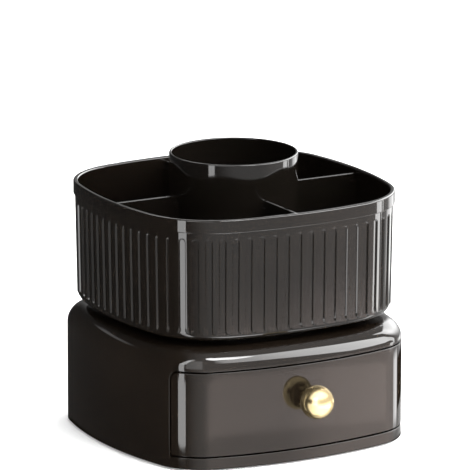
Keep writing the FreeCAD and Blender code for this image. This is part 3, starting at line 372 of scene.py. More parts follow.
def window(s0, s1, z0, z1, r_low, r_up, s_cols, grow=0.0, z_step=5.0, seg=8):
    """Closed loop of a rectangle with rounded corners in (s, z), anticlockwise, grown outward; with its outward normals."""
    rl, ru = max(r_low + grow, 1e-3), max(r_up + grow, 1e-3)
    mids = s_cols[(s_cols > s0 + max(r_low, r_up) + 0.5) & (s_cols < s1 - max(r_low, r_up) - 0.5)]
    zs = np.linspace(z0 + r_low, z1 - r_up, int(round((z1 - z0 - r_low - r_up) / z_step)) + 1)[1:-1]
    pts, nrm = [], []

    def arc(cx, cz, r, a0):
        for j in range(seg + 1):
            a = a0 + PI / 2 * j / seg
            pts.append((cx + r * math.cos(a), cz + r * math.sin(a)))
            nrm.append((math.cos(a), math.sin(a)))

    arc(s0 + r_low, z0 + r_low, rl, PI)
    for s in mids:
        pts.append((s, z0 - grow)); nrm.append((0, -1))
    arc(s1 - r_low, z0 + r_low, rl, 1.5 * PI)
    for z in zs:
        pts.append((s1 + grow, z)); nrm.append((1, 0))
    arc(s1 - r_up, z1 - r_up, ru, 0)
    for s in mids[::-1]:
        pts.append((s, z1 + grow)); nrm.append((0, 1))
    arc(s0 + r_up, z1 - r_up, ru, PI / 2)
    for z in zs[::-1]:
        pts.append((s0 - grow, z)); nrm.append((-1, 0))
    return np.array(pts), np.array(nrm)


def inside(loop, p):
    """Which points p lie inside a closed loop."""
    a, b = loop, np.roll(loop, -1, 0)
    res = np.zeros(len(p), bool)
    for (x0, y0), (x1, y1) in zip(a, b):
        if y0 == y1:
            continue
        hit = ((y0 > p[:, 1]) != (y1 > p[:, 1])) & (p[:, 0] < (x1 - x0) * (p[:, 1] - y0) / (y1 - y0) + x0)
        res ^= hit
    return res


def sheet_of(mesh, face, inset, outer, hole, fill, sign=1.0):
    """Triangulated stretch of a wall between an outer loop and an optional hole, with extra points inside it."""
    loops = [outer] + ([hole] if hole is not None else [])
    keep = inside(outer, fill)
    if hole is not None:
        keep &= ~inside(hole, fill)
    fill = fill[keep]
    near = np.ones(len(fill), bool)
    for lp in loops:
        for q in lp:
            near &= np.hypot(*(fill - q).T) > 0.6
    fill = fill[near]
    pts = np.vstack(loops + [fill])
    edges, base = [], 0
    for lp in loops:
        m = len(lp)
        edges += [(base + i, base + (i + 1) % m) for i in range(m)]
        base += m
    origin = pts.mean(0)
    res = delaunay_2d_cdt([Vector((float(x), float(y))) for x, y in pts - origin], edges, [], 0, 1e-6, True)
    orig, tris = res[3], res[2]
    ids = [o[0] for o in orig]
    tri = np.array([[ids[i] for i in t] for t in tris])
    mid = pts[tri].mean(1)
    ok = inside(outer, mid)
    if hole is not None:
        ok &= ~inside(hole, mid)
    e1, e2 = pts[tri[:, 1]] - pts[tri[:, 0]], pts[tri[:, 2]] - pts[tri[:, 0]]
    ok &= np.abs(e1[:, 0] * e2[:, 1] - e1[:, 1] * e2[:, 0]) > 1e-9
    p, u, _ = face(pts[:, 0], pts[:, 1], inset)
    mesh.add(p, sign * u, tri[ok])


def edge_ring(mesh, face, loop_at, e, depth, sense, steps=4, e_in=0.0):
    """Rounded edge from a wall's face into its thickness along a loop, then straight to a depth, then optionally rounded again.
    sense +1: material inside the loop, as on a panel; -1: material outside it, as round an opening."""
    vs, ns = [], []

    def ring(grow, inset, c, s):
        pts, nrm = loop_at(grow)
        p, u, t = face(pts[:, 0], pts[:, 1], inset)
        side = t * nrm[:, :1] + np.array([0, 0, 1.0]) * nrm[:, 1:]
        vs.append(p)
        ns.append(c * u + s * sense * side)

    for j in range(steps + 1):
        a = PI / 2 * j / steps
        ring(-sense * e * (1 - math.sin(a)), e * (1 - math.cos(a)), math.cos(a), math.sin(a))
    if e_in:
        for j in range(steps + 1):
            a = PI / 2 * j / steps
            ring(-sense * e_in * (1 - math.cos(a)), depth - e_in * (1 - math.sin(a)), -math.sin(a), math.cos(a))
    else:
        ring(0.0, depth, 0.0, 1.0)
    mesh.grid(np.array(vs), np.array(ns))


def rbox(mesh, lo, hi, r, open_sides=()):
    """Box with rounded edges."""
    lo, hi = np.array(lo, float), np.array(hi, float)
    r = min(r, 0.49 * (hi - lo).min())
    k = 3
    c, h = (lo + hi) / 2, (hi - lo) / 2
    ang = np.linspace(0, PI / 4, k + 1)
    for ax in range(3):
        for sg in (-1, 1):
            if (ax, sg) in open_sides:
                continue
            a1, a2 = (ax + 1) % 3, (ax + 2) % 3
            w = np.tan(ang)
            coords = np.concatenate([-w[::-1], w])
            core = np.concatenate([-np.ones(k + 1), np.ones(k + 1)])
            A, B = np.meshgrid(coords, coords)
            CA, CB = np.meshgrid(core, core)
            d = np.zeros(A.shape + (3,))
            d[..., ax], d[..., a1], d[..., a2] = sg, A, B
            d /= np.linalg.norm(d, axis=-1, keepdims=True)
            p = np.zeros_like(d)
            p[..., ax] = sg * (h[ax] - r)
            p[..., a1] = CA * (h[a1] - r)
            p[..., a2] = CB * (h[a2] - r)
            mesh.grid(c + p + r * d, d, wrap=False)


def circle_angles(n):
    return np.arange(n) * 2 * PI / n


# ---------------------------------------------------------------- sizes, in mm, as in the CAD model
DECK, SHOULDER, WALL, UNDER = 89.5, 14.5, 2.6, 86.9
LIP, OPEN_TOP, OPEN_Y, OPEN_R, GAP = 8.6, 73.8, 79.9, 7.0, 1.2
TRAY_LOW, TRAY_FLOOR, COLLAR, RIM = 94.0, 96.5, 176.3, 186.3
IN_TOP, IN_LOW, TRAY_WALL, EDGE_R, INNER_R = 1.25, 2.64, 2.6, 6.2, 5.5
FLUTES, FLUTE_W, FLUTE_DEEP, FLUTE_TOP, RIB_LOW = 72, 4.8, 1.2, 171.3, 99.8
RISE = (IN_LOW - IN_TOP) / (COLLAR - TRAY_LOW)
DIVIDER_TOP, GUIDE_TOP, CUP_R, CUP_TOP = 183.0, 178.0, 48.0, 211.0


def seam_s(y):
    """Arc length on the base's outline, left of the front's middle, where the outer face is at -y."""
    lo, hi = BASE.s_of(PI) + 1.0, BASE.s_of(1.5 * PI) - 1.0
    for _ in range(60):
        mid = (lo + hi) / 2
        if plan_xy(BASE, np.array([mid]))[0][0, 1] > -y:
            lo = mid
        else:
            hi = mid
    return (lo + hi) / 2


def make_housing(mat):
    m = Mesh()
    face = skin(BASE)
    s, S = column_s(BASE, 3.0, 1.2)
    xy, u = plan_xy(BASE, s)
    dom = np.sort(np.where(s < S / 4 - 1e-6, s + S, s))
    full = np.append(dom, dom[0] + S)
    s0 = seam_s(OPEN_Y)
    s1 = 1.5 * S - s0
    e = 0.36

    def opening(grow):
        return window(s0, s1, LIP, OPEN_TOP, 0.25, OPEN_R, dom, grow)

    def wall_loop(z0, z1):
        zs = np.linspace(z0, z1, 13)[1:-1]
        return np.vstack([
            np.column_stack([full, np.full(len(full), z0)]),
            np.column_stack([np.full(len(zs), full[-1]), zs]),
            np.column_stack([full[::-1], np.full(len(full), z1)]),
            np.column_stack([np.full(len(zs), full[0]), zs[::-1]]),
        ])

    fill = np.stack(np.meshgrid(dom[1:], np.linspace(3.0, 73.0, 12)), -1).reshape(-1, 2)
    sheet_of(m, face, 0.0, wall_loop(0.8, 75.0), opening(e)[0], fill)
    sheet_of(m, face, WALL, wall_loop(0.0, 75.0), opening(0.0)[0], fill, sign=-1.0)
    edge_ring(m, face, opening, e, WALL, -1)
    P, N = run([(WALL, 0.0), (0.0, 0.0, 0.8), (0.0, 0.8)])
    loft(m, xy, u, P, N)
    P, N = run([(0.0, 75.0), (0.0, DECK, SHOULDER), (SHOULDER + 0.01, DECK)], seg=20)
    _, top = loft(m, xy, u, P, N)
    a = bridge(m, top, 67.1, DECK, 1)
    P, N = run([(67.1, DECK), (66.6, DECK, 0.45), (66.6, 84.5, 0.6), (6.5, 84.5), (6.08, 84.5, 0.3), (6.08, 79.5), (11.0, 79.5, 0.5), (11.0, 82.0), (70.0, 82.0, 0.8), (70.0, UNDER)])
    spin(m, a, P, -N)
    P, N = run([(SHOULDER + 0.01, UNDER), (WALL, UNDER, SHOULDER - WALL), (WALL, 75.0)], seg=12)
    top, _ = loft(m, xy, u, P, N)
    t = np.linspace(0, 1, 4)[:, None, None]
    circ = np.stack([70.0 * np.cos(a), 70.0 * np.sin(a), np.full(len(a), UNDER)], -1)
    v = circ[None] * (1 - t) + top[None] * t
    m.grid(v, np.broadcast_to([0, 0, -1.0], v.shape))
    for q in range(4):
        ca, sa = math.cos(q * PI / 2), math.sin(q * PI / 2)
        P, N = run([(4.0, 82.3), (4.0, 77.5, 0.4), (1.6, 77.5)])
        _, end = spin(m, circle_angles(32), P, N, centre=(38.0 * ca, 38.0 * sa))
        m.fan(end, [0, 0, -1.0])
        P, N = run([(1.6, 2.55), (4.5, 2.55, 0.2), (4.5, 8.4, 0.5), (1.0, 8.4)])
        low, end = spin(m, circle_angles(32), P, -N, centre=(86.0 * (ca - sa), 86.0 * (sa + ca)))
        m.fan(end, [0, 0, 1.0])
        m.fan(low, [0, 0, -1.0])
    return m.object("base_shell", mat)


def make_front(mat):
    m = Mesh()
    face = skin(BASE)
    s, S = column_s(BASE, 3.0, 1.2)
    s0 = seam_s(OPEN_Y + GAP)
    s1 = 1.5 * S - s0
    e, ei, thick = 0.42, 0.3, 3.0

    def panel(grow):
        return window(s0, s1, LIP + GAP, OPEN_TOP - GAP, 0.9, OPEN_R - GAP, s, grow)

    fill = np.stack(np.meshgrid(s, np.linspace(13.0, 70.0, 10)), -1).reshape(-1, 2)
    sheet_of(m, face, 0.0, panel(-e)[0], None, fill)
    sheet_of(m, face, thick, panel(-ei)[0], None, fill, sign=-1.0)
    edge_ring(m, face, panel, e, thick, 1, e_in=ei)
    return m.object("drawer_panel", mat)


def arcs_outline(arcs, step):
    """Outline through arcs (cx, cy, radius, start, end in degrees), joined by straight lines; with outward normals."""
    xy, u = [], []
    for cx, cy, r, a0, a1 in arcs:
        k = max(4, int(math.ceil(math.radians(a1 - a0) * r / step)))
        for j in range(k + 1):
            a = math.radians(a0 + (a1 - a0) * j / k)
            p = (cx + r * math.cos(a), cy + r * math.sin(a))
            if xy:
                gap = math.dist(p, xy[-1])
                if gap < 1e-6:
                    continue
                if j == 0:
                    n = max(1, int(gap / 8.0))
                    q = xy[-1]
                    for i in range(1, n):
                        xy.append((q[0] + (p[0] - q[0]) * i / n, q[1] + (p[1] - q[1]) * i / n))
                        u.append((math.cos(a), math.sin(a)))
            xy.append(p)
            u.append((math.cos(a), math.sin(a)))
    if math.dist(xy[0], xy[-1]) < 1e-6:
        xy.pop(); u.pop()
    return np.array(xy), np.array(u)


def make_box(mat):
    m = Mesh()
    th, c, rc = math.degrees(BASE.th), BASE.c, BASE.corner - 3.0
    r = 4.5
    cx = 90.0 - r
    cy = -c - math.sqrt((rc - r) ** 2 - (cx - c) ** 2)
    turn = math.degrees(math.atan2(-(cy + c), cx - c))
    xy, u = arcs_outline([
        (-c, -c, rc, 180 + turn, 270 - th),
        (0.0, BASE.d, BASE.side - 3.0, 270 - th, 270 + th),
        (c, -c, rc, 270 + th, 360 - turn),
        (cx, cy, r, 360 - turn, 360),
        (78.0, 74.0, 12.0, 360, 450),
        (-78.0, 74.0, 12.0, 450, 540),
        (-cx, cy, r, 540, 540 + turn),
    ], 2.0)
    P, N = run([(4.2, 9.2), (0, 9.2, 1.0), (0, 70.0, 0.75), (2.0, 70.0, 0.75), (2.0, 11.2, 1.6), (4.2, 11.2)])
    P, N = finer(P, N, 15.0)
    low, high = loft(m, xy, u, P, N)
    m.cap(low, [0, 0, -1.0])
    m.cap(high, [0, 0, 1.0])
    return m


def make_knob(mat):
    m = Mesh()
    R, t0 = 12.6, 15.1
    pts, nrm = [], []
    for t in np.linspace(0.0, 2.533, 4):
        pts.append((4.2, t)); nrm.append((1, 0))
    fc = (5.2, 2.533)
    end = math.atan2((t0 - 12.6 * 12.567 / 13.6) - fc[1], 12.6 * 5.2 / 13.6 - fc[0])
    for j in range(1, 7):
        a = PI + (end - PI) * j / 6
        pts.append((fc[0] + math.cos(a), fc[1] + math.sin(a))); nrm.append((-math.cos(a), -math.sin(a)))
    b0 = math.atan2(-12.567, 5.2)
    for j in range(1, 64):
        b = b0 + (PI / 2 - b0) * j / 64
        pts.append((R * math.cos(b), t0 + R * math.sin(b))); nrm.append((math.cos(b), math.sin(b)))
    F = np.array([[1.0, 0, 0], [0, 0, -1.0], [0, 1.0, 0]])
    first, last = spin(m, circle_angles(96), np.array(pts), np.array(nrm), centre=(0, -110.0, 47.3), frame=F)
    m.fan(last, [0, -1.0, 0], np.array([0, -110.0 - t0 - R, 47.3]))
    m.fan(first, [0, 1.0, 0])
    return m.object("knob_ball", mat)


def put_guides(m, x0, x1, z0, z1, r):
    for lo, hi in ((1.1, 2.7), (-2.7, -1.1)):
        for a, b in ((x0, x1), (-x1, -x0)):
            rbox(m, (a, lo, z0), (b, hi, z1), r)
            rbox(m, (lo, a, z0), (hi, b, z1), r)


def make_cup(mat):
    m = Mesh()
    P, N = run([(8.0, 103.0), (46.0, 103.0), (46.0, 96.5), (CUP_R, 96.5, 0.3), (CUP_R, CUP_TOP, 0.95), (46.0, CUP_TOP, 0.95), (46.0, 105.0, 2.5), (8.0, 105.0)], seg=8)
    P, N = finer(P, N, 20.0)
    low, high = spin(m, circle_angles(240), P, -N)
    m.fan(low, [0, 0, -1.0])
    m.fan(high, [0, 0, 1.0])
    put_guides(m, 47.2, 51.0, 96.55, GUIDE_TOP, 0.35)
    return m.object("cup_shell", mat)


def make_divider(name, deg, mat):
    m = Mesh()
    a = math.radians(deg)
    along, out = (math.cos(a), math.sin(a), 0), (math.sin(a), -math.cos(a), 0)
    face = flat_skin(np.array(out) * 1.0, along, (0, 0, 1), out)
    x_low = 108.3 - IN_LOW - TRAY_WALL - 0.35
    x_foot = 108.3 - IN_LOW - TRAY_WALL - INNER_R - 0.3
    x_top = x_low + RISE * (DIVIDER_TOP - TRAY_LOW)
    P, N = run([(48.1, 96.55, 0.8), (x_foot, 96.55, 0.8), (x_low, 102.0, 0.8), (x_top, DIVIDER_TOP, 1.5), (48.1, DIVIDER_TOP, 1.5)], closed=True)
    e = 0.6

    def loop(grow):
        return P - grow * N, -N

    edge_ring(m, face, loop, e, 2.0, 1, e_in=e)
    pts = loop(-e)[0]
    p, n, _ = face(pts[:, 0], pts[:, 1], 0.0)
    m.fan(p, n[0])
    p, n, _ = face(pts[:, 0], pts[:, 1], 2.0)
    m.fan(p, -n[0])
    return m.object(name, mat)


def make_tray(mat):
    m = Mesh()
    mid_in = (IN_LOW + IN_TOP) / 2
    pitch = TRAY.tables(mid_in)[1][-1] / FLUTES
    rw, gw, te = (pitch - FLUTE_W) / 2, FLUTE_W / 2, 0.42
    zc_low, zc_top = RIB_LOW + math.sqrt(rw * rw - 0.36), FLUTE_TOP - gw
    # columns of one cell, from one rib's middle to the next
    edge = rw - te + 2 * te * np.array([0.0, 0.08, 0.18, 0.5, 0.82, 0.92, 1.0])
    half = np.concatenate([np.linspace(0, rw - te, 6)[:-1], edge, np.linspace(rw + te, pitch / 2, 6)[1:]])
    cell = np.concatenate([half, (pitch - half[::-1])[1:-1]])
    off = np.where(cell > pitch / 2, cell - pitch, cell)
    s = (np.arange(FLUTES)[:, None] * pitch + cell[None]).ravel()
    off = np.tile(off, FLUTES)
    phi = TRAY.phi_of(s, mid_in)
    cx, cy, r = TRAY.parts(phi)
    # rows: the flutes' floor runs on into the rounded lower edge
    low_in = IN_LOW + FLUTE_DEEP
    lean = math.atan(RISE)
    arc_z = TRAY_LOW + EDGE_R
    arc_in = low_in - RISE * (arc_z - TRAY_LOW) + EDGE_R / math.cos(lean)
    z_tan = arc_z + EDGE_R * math.sin(lean)
    angs = np.radians(np.linspace(0, 75, 9))
    rows = [TRAY_LOW + EDGE_R - EDGE_R * math.cos(a) for a in angs]
    rows += list(np.arange(99.2, 104.4, 0.3)) + list(np.linspace(104.4, 168.2, 9)[1:]) + list(np.arange(168.5, 171.95, 0.3)) + [173.5, 175.9]
    z = np.array(rows)
    dz = z - arc_z
    on_arc = z < z_tan
    root = np.sqrt(np.maximum(EDGE_R ** 2 - dz ** 2, 1e-9))
    G = np.where(on_arc, arc_in - root, low_in - RISE * (z - TRAY_LOW))
    Gz = np.where(on_arc, dz / np.maximum(root, 0.05), -RISE)
    R = IN_LOW - RISE * (z - TRAY_LOW)
    X, Z = np.meshgrid(off, z)
    Gm, Gzm, Rm = (np.broadcast_to(q[:, None], X.shape) for q in (G, Gz, R))
    gx = np.where(X >= 0, X - pitch / 2, X + pitch / 2)
    y1, y2 = Z - zc_low, Z - zc_top
    rho1, rho2 = np.hypot(X, y1) + 1e-9, np.hypot(gx, y2) + 1e-9
    lowz, topz = Z <= zc_low, Z >= zc_top
    dist = np.where(lowz, rw - rho1, np.where(topz, rho2 - gw, rw - np.abs(X)))
    ds = np.where(lowz, -X / rho1, np.where(topz, gx / rho2, -np.sign(X)))
    dd = np.where(lowz, -y1 / rho1, np.where(topz, y2 / rho2, 0.0))
    # the ribs' lower ends run out more gently than their sides
    te = te + 0.16 * np.clip((zc_low + 1.6 - Z) / 1.6, 0, 1)
    t = np.clip((dist + te) / (2 * te), 0, 1)
    q, e = np.minimum(t, 1 - t), 0.18
    k = 1 / (1 - e)
    hq = np.where(q < e, k * q * q / (2 * e), k * (q - e / 2))
    h, hd = np.where(t < 0.5, hq, 1 - hq), k * np.minimum(q / e, 1.0) / (2 * te)
    ins = Gm - h * (Gm - Rm)
    iz = Gzm - hd * dd * (Gm - Rm) - h * (Gzm + RISE)
    is_ = -hd * ds * (Gm - Rm)
    co, si = np.cos(phi), np.sin(phi)
    v = np.stack([cx + (r - ins) * co, cy + (r - ins) * si, Z], -1)
    n = np.stack([co - is_ * si, si + is_ * co, iz], -1)
    first = z < 98.9
    n[first] = np.stack([-(G[first] - arc_in)[:, None] / EDGE_R * co, -(G[first] - arc_in)[:, None] / EDGE_R * si, (dz[first] / EDGE_R)[:, None] + 0 * co], -1)
    m.grid(v, n)
    # small hollow corner under the collar, with the same columns
    i_top = IN_LOW - RISE * (175.9 - TRAY_LOW)
    i_join = IN_LOW - RISE * (COLLAR - TRAY_LOW)
    P, N = run([(i_top, 175.9), (i_join, COLLAR, 0.38), (0.8, COLLAR)], seg=4)
    fxy, fu = np.stack(TRAY.at(phi, 0.0), -1), np.stack([co, si], -1)
    _, fine_top = loft(m, fxy, fu, P, N)
    fine_low = v[0]
    # collar, rim, inner wall and floor
    cs, S = column_s(TRAY, 2.6, 1.4)
    xy, u = plan_xy(TRAY, cs)
    P, N = run([(0.6, COLLAR), (0.0, COLLAR, 0.55), (0.0, RIM, 1.3), (IN_LOW + TRAY_WALL - RISE * (RIM - TRAY_FLOOR), RIM, 1.3), (IN_LOW + TRAY_WALL, TRAY_FLOOR, INNER_R), (11.6, TRAY_FLOOR)], seg=8)
    P, N = finer(P, N, 20.0)
    coarse_top, floor = loft(m, xy, u, P, N)
    m.zip(fine_top, coarse_top, [0, 0, -1.0])
    a = bridge(m, floor, 46.4, TRAY_FLOOR, 1)
    P, N = run([(46.4, TRAY_FLOOR), (45.9, TRAY_FLOOR), (45.9, 100.5, 0.4), (43.4, 100.5, 0.4), (43.4, TRAY_FLOOR), (10.0, TRAY_FLOOR)])
    _, end = spin(m, a, P, -N)
    m.fan(end, [0, 0, 1.0])
    low_xy, low_u = xy, u
    P, N = np.array([(12.8, TRAY_LOW), (13.6, TRAY_LOW)]), np.array([(0, -1.0), (0, -1.0)])
    coarse_low, ring = loft(m, low_xy, low_u, P, N)
    m.zip(fine_low, coarse_low, [0, 0, -1.0])
    a = bridge(m, ring, 6.6, TRAY_LOW, -1)
    P, N = run([(6.6, TRAY_LOW), (6.0, TRAY_LOW, 0.4), (6.0, 79.2, 0.4), (2.0, 79.2), (2.0, 92.5), (0.7, 92.5)])
    _, end = spin(m, a, P, N)
    m.fan(end, [0, 0, -1.0])
    put_guides(m, 100.06, 104.4, TRAY_FLOOR + 8.0, GUIDE_TOP, 0.3)
    return m.object("tray_shell", mat)


# ---------------------------------------------------------------- materials
class Nodes:
    """Short hand for building a node material."""

    def __init__(self, name):
        self.mat = bpy.data.materials.new(name)
        self.mat.use_nodes = True
        self.t = self.mat.node_tree
        self.t.nodes.clear()
        self.out = self.t.nodes.new("ShaderNodeOutputMaterial")
        self.bsdf = self.t.nodes.new("ShaderNodeBsdfPrincipled")
        self.t.links.new(self.bsdf.outputs["BSDF"], self.out.inputs["Surface"])
        self.pos = self.t.nodes.new("ShaderNodeTexCoord").outputs["Object"]

    def link(self, a, b):
        self.t.links.new(a, b)

    def put(self, node, inputs):
        for k, x in inputs.items():
            if isinstance(x, bpy.types.NodeSocket):
                self.link(x, node.inputs[k])
            else:
                node.inputs[k].default_value = x
        return node

    def noise(self, scale, detail=2.0, rough=0.5, stretch=None, at=None):
        at = at or self.pos
        if stretch:
            m = self.t.nodes.new("ShaderNodeMapping")
            m.inputs["Scale"].default_value = stretch
            self.link(at, m.inputs["Vector"])
            at = m.outputs["Vector"]
        n = self.put(self.t.nodes.new("ShaderNodeTexNoise"), {"Vector": at, "Scale": scale, "Detail": detail, "Roughness": rough})
        return n.outputs["Fac"]

    def voronoi(self, scale):
        n = self.put(self.t.nodes.new("ShaderNodeTexVoronoi"), {"Vector": self.pos, "Scale": scale})
        return n.outputs["Distance"]

    def span(self, x, lo, hi, a=0.0, b=1.0):
        n = self.t.nodes.new("ShaderNodeMapRange")
        n.interpolation_type = "SMOOTHSTEP"
        self.put(n, {"Value": x, "From Min": lo, "From Max": hi, "To Min": a, "To Max": b})
        return n.outputs["Result"]

    def math(self, op, a, b=0.0):
        n = self.t.nodes.new("ShaderNodeMath")
        n.operation = op
        for i, x in enumerate((a, b)):
            if isinstance(x, bpy.types.NodeSocket):
                self.link(x, n.inputs[i])
            else:
                n.inputs[i].default_value = x
        return n.outputs[0]

    def mix(self, fac, a, b):
        n = self.t.nodes.new("ShaderNodeMix")
        n.data_type = "RGBA"
        for k, x in ((0, fac), (6, a), (7, b)):
            if isinstance(x, bpy.types.NodeSocket):
                self.link(x, n.inputs[k])
            else:
                n.inputs[k].default_value = x
        return n.outputs[2]

    def bump(self, height, distance, strength=1.0, normal=None):
        n = self.put(self.t.nodes.new("ShaderNodeBump"), {"Height": height, "Distance": distance, "Strength": strength})
        if normal:
            self.link(normal, n.inputs["Normal"])
        return n.outputs["Normal"]


def gloss(name, dark, light, rough=0.04, peel=0.000006):
    """Polished moulded plastic: faint flow variation in the colour, orange peel, dust and fine handling marks in the gloss."""
    k = Nodes(name)
    flow = k.noise(9.0, 3.0, 0.6, stretch=(1.0, 1.0, 2.2))
    k.link(k.mix(k.span(flow, 0.32, 0.68), (*dark, 1), (*light, 1)), k.bsdf.inputs["Base Color"])
    smear = k.noise(26.0, 4.0, 0.55)
    fine = k.noise(900.0, 2.0, 0.6)
    speck = k.span(k.voronoi(420.0), 0.02, 0.10, 1.0, 0.0)
    r = k.math("ADD", k.span(smear, 0.3, 0.75, rough * 0.75, rough * 1.35), k.math("MULTIPLY", fine, 0.008))
    r = k.math("ADD", r, k.math("MULTIPLY", speck, 0.012))
    k.link(r, k.bsdf.inputs["Roughness"])
    wave = k.noise(150.0, 1.0, 0.5)
    micro = k.noise(2600.0, 1.0, 0.5)
    n = k.bump(wave, peel * 1.0, 0.6)
    n = k.bump(micro, 0.0000012, 0.5, n)
    k.link(n, k.bsdf.inputs["Normal"])
    k.bsdf.inputs["IOR"].default_value = 1.5
    return k.mat


def textured(name, dark, light, rough, grain, depth, scuff=0.06):
    """Plastic or rubber with a fine moulded texture, a little lighter where it is rubbed."""
    k = Nodes(name)
    cloud = k.noise(30.0, 4.0, 0.6)
    fine = k.noise(grain, 3.0, 0.65)
    base = k.mix(k.span(cloud, 0.3, 0.7), (*dark, 1), (*light, 1))
    rub = k.span(k.noise(75.0, 5.0, 0.7), 0.58, 0.8, 0.0, scuff)
    k.link(k.mix(rub, base, (0.35, 0.34, 0.33, 1)), k.bsdf.inputs["Base Color"])
    k.link(k.math("ADD", k.span(cloud, 0.2, 0.8, rough - 0.07, rough + 0.05), k.math("MULTIPLY", fine, 0.06)), k.bsdf.inputs["Roughness"])
    n = k.bump(fine, depth, 1.0)
    k.link(k.bump(k.voronoi(grain * 0.8), depth * 0.6, 0.7, n), k.bsdf.inputs["Normal"])
    return k.mat


def turned_metal(name, dark, light, rough, streak, depth):
    """Plated metal with fine turning marks round the upright axis and faint tarnish."""
    k = Nodes(name)
    cloud = k.noise(60.0, 4.0, 0.6)
    k.link(k.mix(k.span(cloud, 0.25, 0.75), (*dark, 1), (*light, 1)), k.bsdf.inputs["Base Color"])
    k.bsdf.inputs["Metallic"].default_value = 1.0
    line = k.noise(1.0, 2.0, 0.5, stretch=streak)
    k.link(k.math("ADD", k.span(cloud, 0.2, 0.8, rough * 0.8, rough * 1.2), k.math("MULTIPLY", line, rough * 0.6)), k.bsdf.inputs["Roughness"])
    k.link(k.bump(line, depth, 0.6), k.bsdf.inputs["Normal"])
    return k.mat


GLOSS = gloss("gloss_plastic_base", (0.0048, 0.0033, 0.0022), (0.0068, 0.0048, 0.0033))
# the tray is the same plastic as the base; its darker colour is painted shade, so that the tray reads darker than the
# base
GLOSS_TRAY_SHADED = gloss("gloss_plastic_tray_painted_shade", (0.0034, 0.0025, 0.0018), (0.0050, 0.0037, 0.0027), rough=0.032)
GLOSS_FRONT = gloss("gloss_plastic_front", (0.0048, 0.0033, 0.0022), (0.0068, 0.0048, 0.0033), rough=0.026)
# the parts inside the tray and the drawer are the same plastic, a little rougher; their darker colour is painted shade,
# for the shade that falls inside the tray, cup and drawer
INNER = gloss("gloss_plastic_inner_painted_shade", (0.0030, 0.0024, 0.0018), (0.0044, 0.0036, 0.0028), rough=0.055)
MATTE = textured("matte_plastic", (0.020, 0.0185, 0.0180), (0.030, 0.028, 0.027), 0.55, 1800.0, 0.00003)
RACE = textured("race_plastic", (0.085, 0.085, 0.090), (0.115, 0.115, 0.12), 0.42, 2400.0, 0.000012)
RUBBER = textured("rubber", (0.020, 0.020, 0.020), (0.033, 0.032, 0.031), 0.82, 1400.0, 0.00004, 0.10)
STEEL = turned_metal("zinc_steel", (0.50, 0.50, 0.51), (0.66, 0.66, 0.66), 0.30, (60.0, 60.0, 2600.0), 0.000006)
BALL_STEEL = turned_metal("polished_steel", (0.60, 0.60, 0.61), (0.72, 0.72, 0.72), 0.12, (300.0, 300.0, 900.0), 0.000002)
GOLD = turned_metal("pale_gold", (0.93, 0.71, 0.36), (0.97, 0.78, 0.44), 0.17, (120.0, 2400.0, 120.0), 0.0000010)


# ---------------------------------------------------------------- pieces
def add(ob, body, slot, *nodes):
    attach(ob, body)
    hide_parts(*nodes)
    return ob


add(make_housing(GLOSS), "base", "gloss_black", "base_housing")
add(make_tray(GLOSS_TRAY_SHADED), "tray", "gloss_black", "rotating_tray")
add(make_cup(INNER), "tray", "gloss_black", "brush_cup")
for side_name, deg in (("right", 0), ("rear", 90), ("left", 180), ("front", 270)):
    add(make_divider("divider_plate_" + side_name, deg, INNER), "tray", "gloss_black", "divider_" + side_name)
add(make_front(GLOSS_FRONT), "drawer", "gloss_black", "drawer_front")
box = make_box(INNER)
rbox(box, (-15.0, 80.0, 4.5), (15.0, 83.0, 9.6), 0.5)
add(box.object("drawer_tray", INNER), "drawer", "gloss_black", "drawer_box")
add(make_knob(GOLD), "drawer", "gold", "drawer_knob")

for name, ob in frame["nodes"].items():
    if name in ("base_bottom_plate",) or name.startswith("drawer_runner"):
        mat = MATTE
    elif name.startswith("foot"):
        mat = RUBBER
    elif "race" in name and "screws" not in name or name == "ball_cage":
        mat = RACE
    elif name == "bearing_balls":
        mat = BALL_STEEL
    elif "screw" in name or name == "pivot_washer":
        mat = STEEL
    else:
        mat = GLOSS
    if not ob.material_slots:
        ob.data.materials.append(mat)
    for sl in ob.material_slots:
        sl.material = mat

# ---------------------------------------------------------------- floor, world and lights
scene = bpy.context.scene
scene.view_settings.view_transform = "Standard"
scene.view_settings.look = "None"
scene.view_settings.exposure = 0.0
scene.view_settings.gamma = 1.0

floor_mesh = bpy.data.meshes.new("floor")
floor_z = -1.5 * MM
fs = 30.0
floor_mesh.from_pydata([(-fs, -fs, floor_z), (fs, -fs, floor_z), (fs, fs, floor_z), (-fs, fs, floor_z)], [], [(0, 1, 2, 3)])
floor = bpy.data.objects.new("floor", floor_mesh)
scene.collection.objects.link(floor)
fn = Nodes("pale_floor")
fn.bsdf.inputs["Base Color"].default_value = (0.93, 0.93, 0.93, 1)
fn.bsdf.inputs["Roughness"].default_value = 0.9
fn.bsdf.inputs["Specular IOR Level"].default_value = 0.0
fn.bsdf.inputs["Emission Color"].default_value = (1.0, 1.0, 1.0, 1)
fn.bsdf.inputs["Emission Strength"].default_value = 0.16
floor_mesh.materials.append(fn.mat)
floor.visible_glossy = False
floor.visible_shadow = False


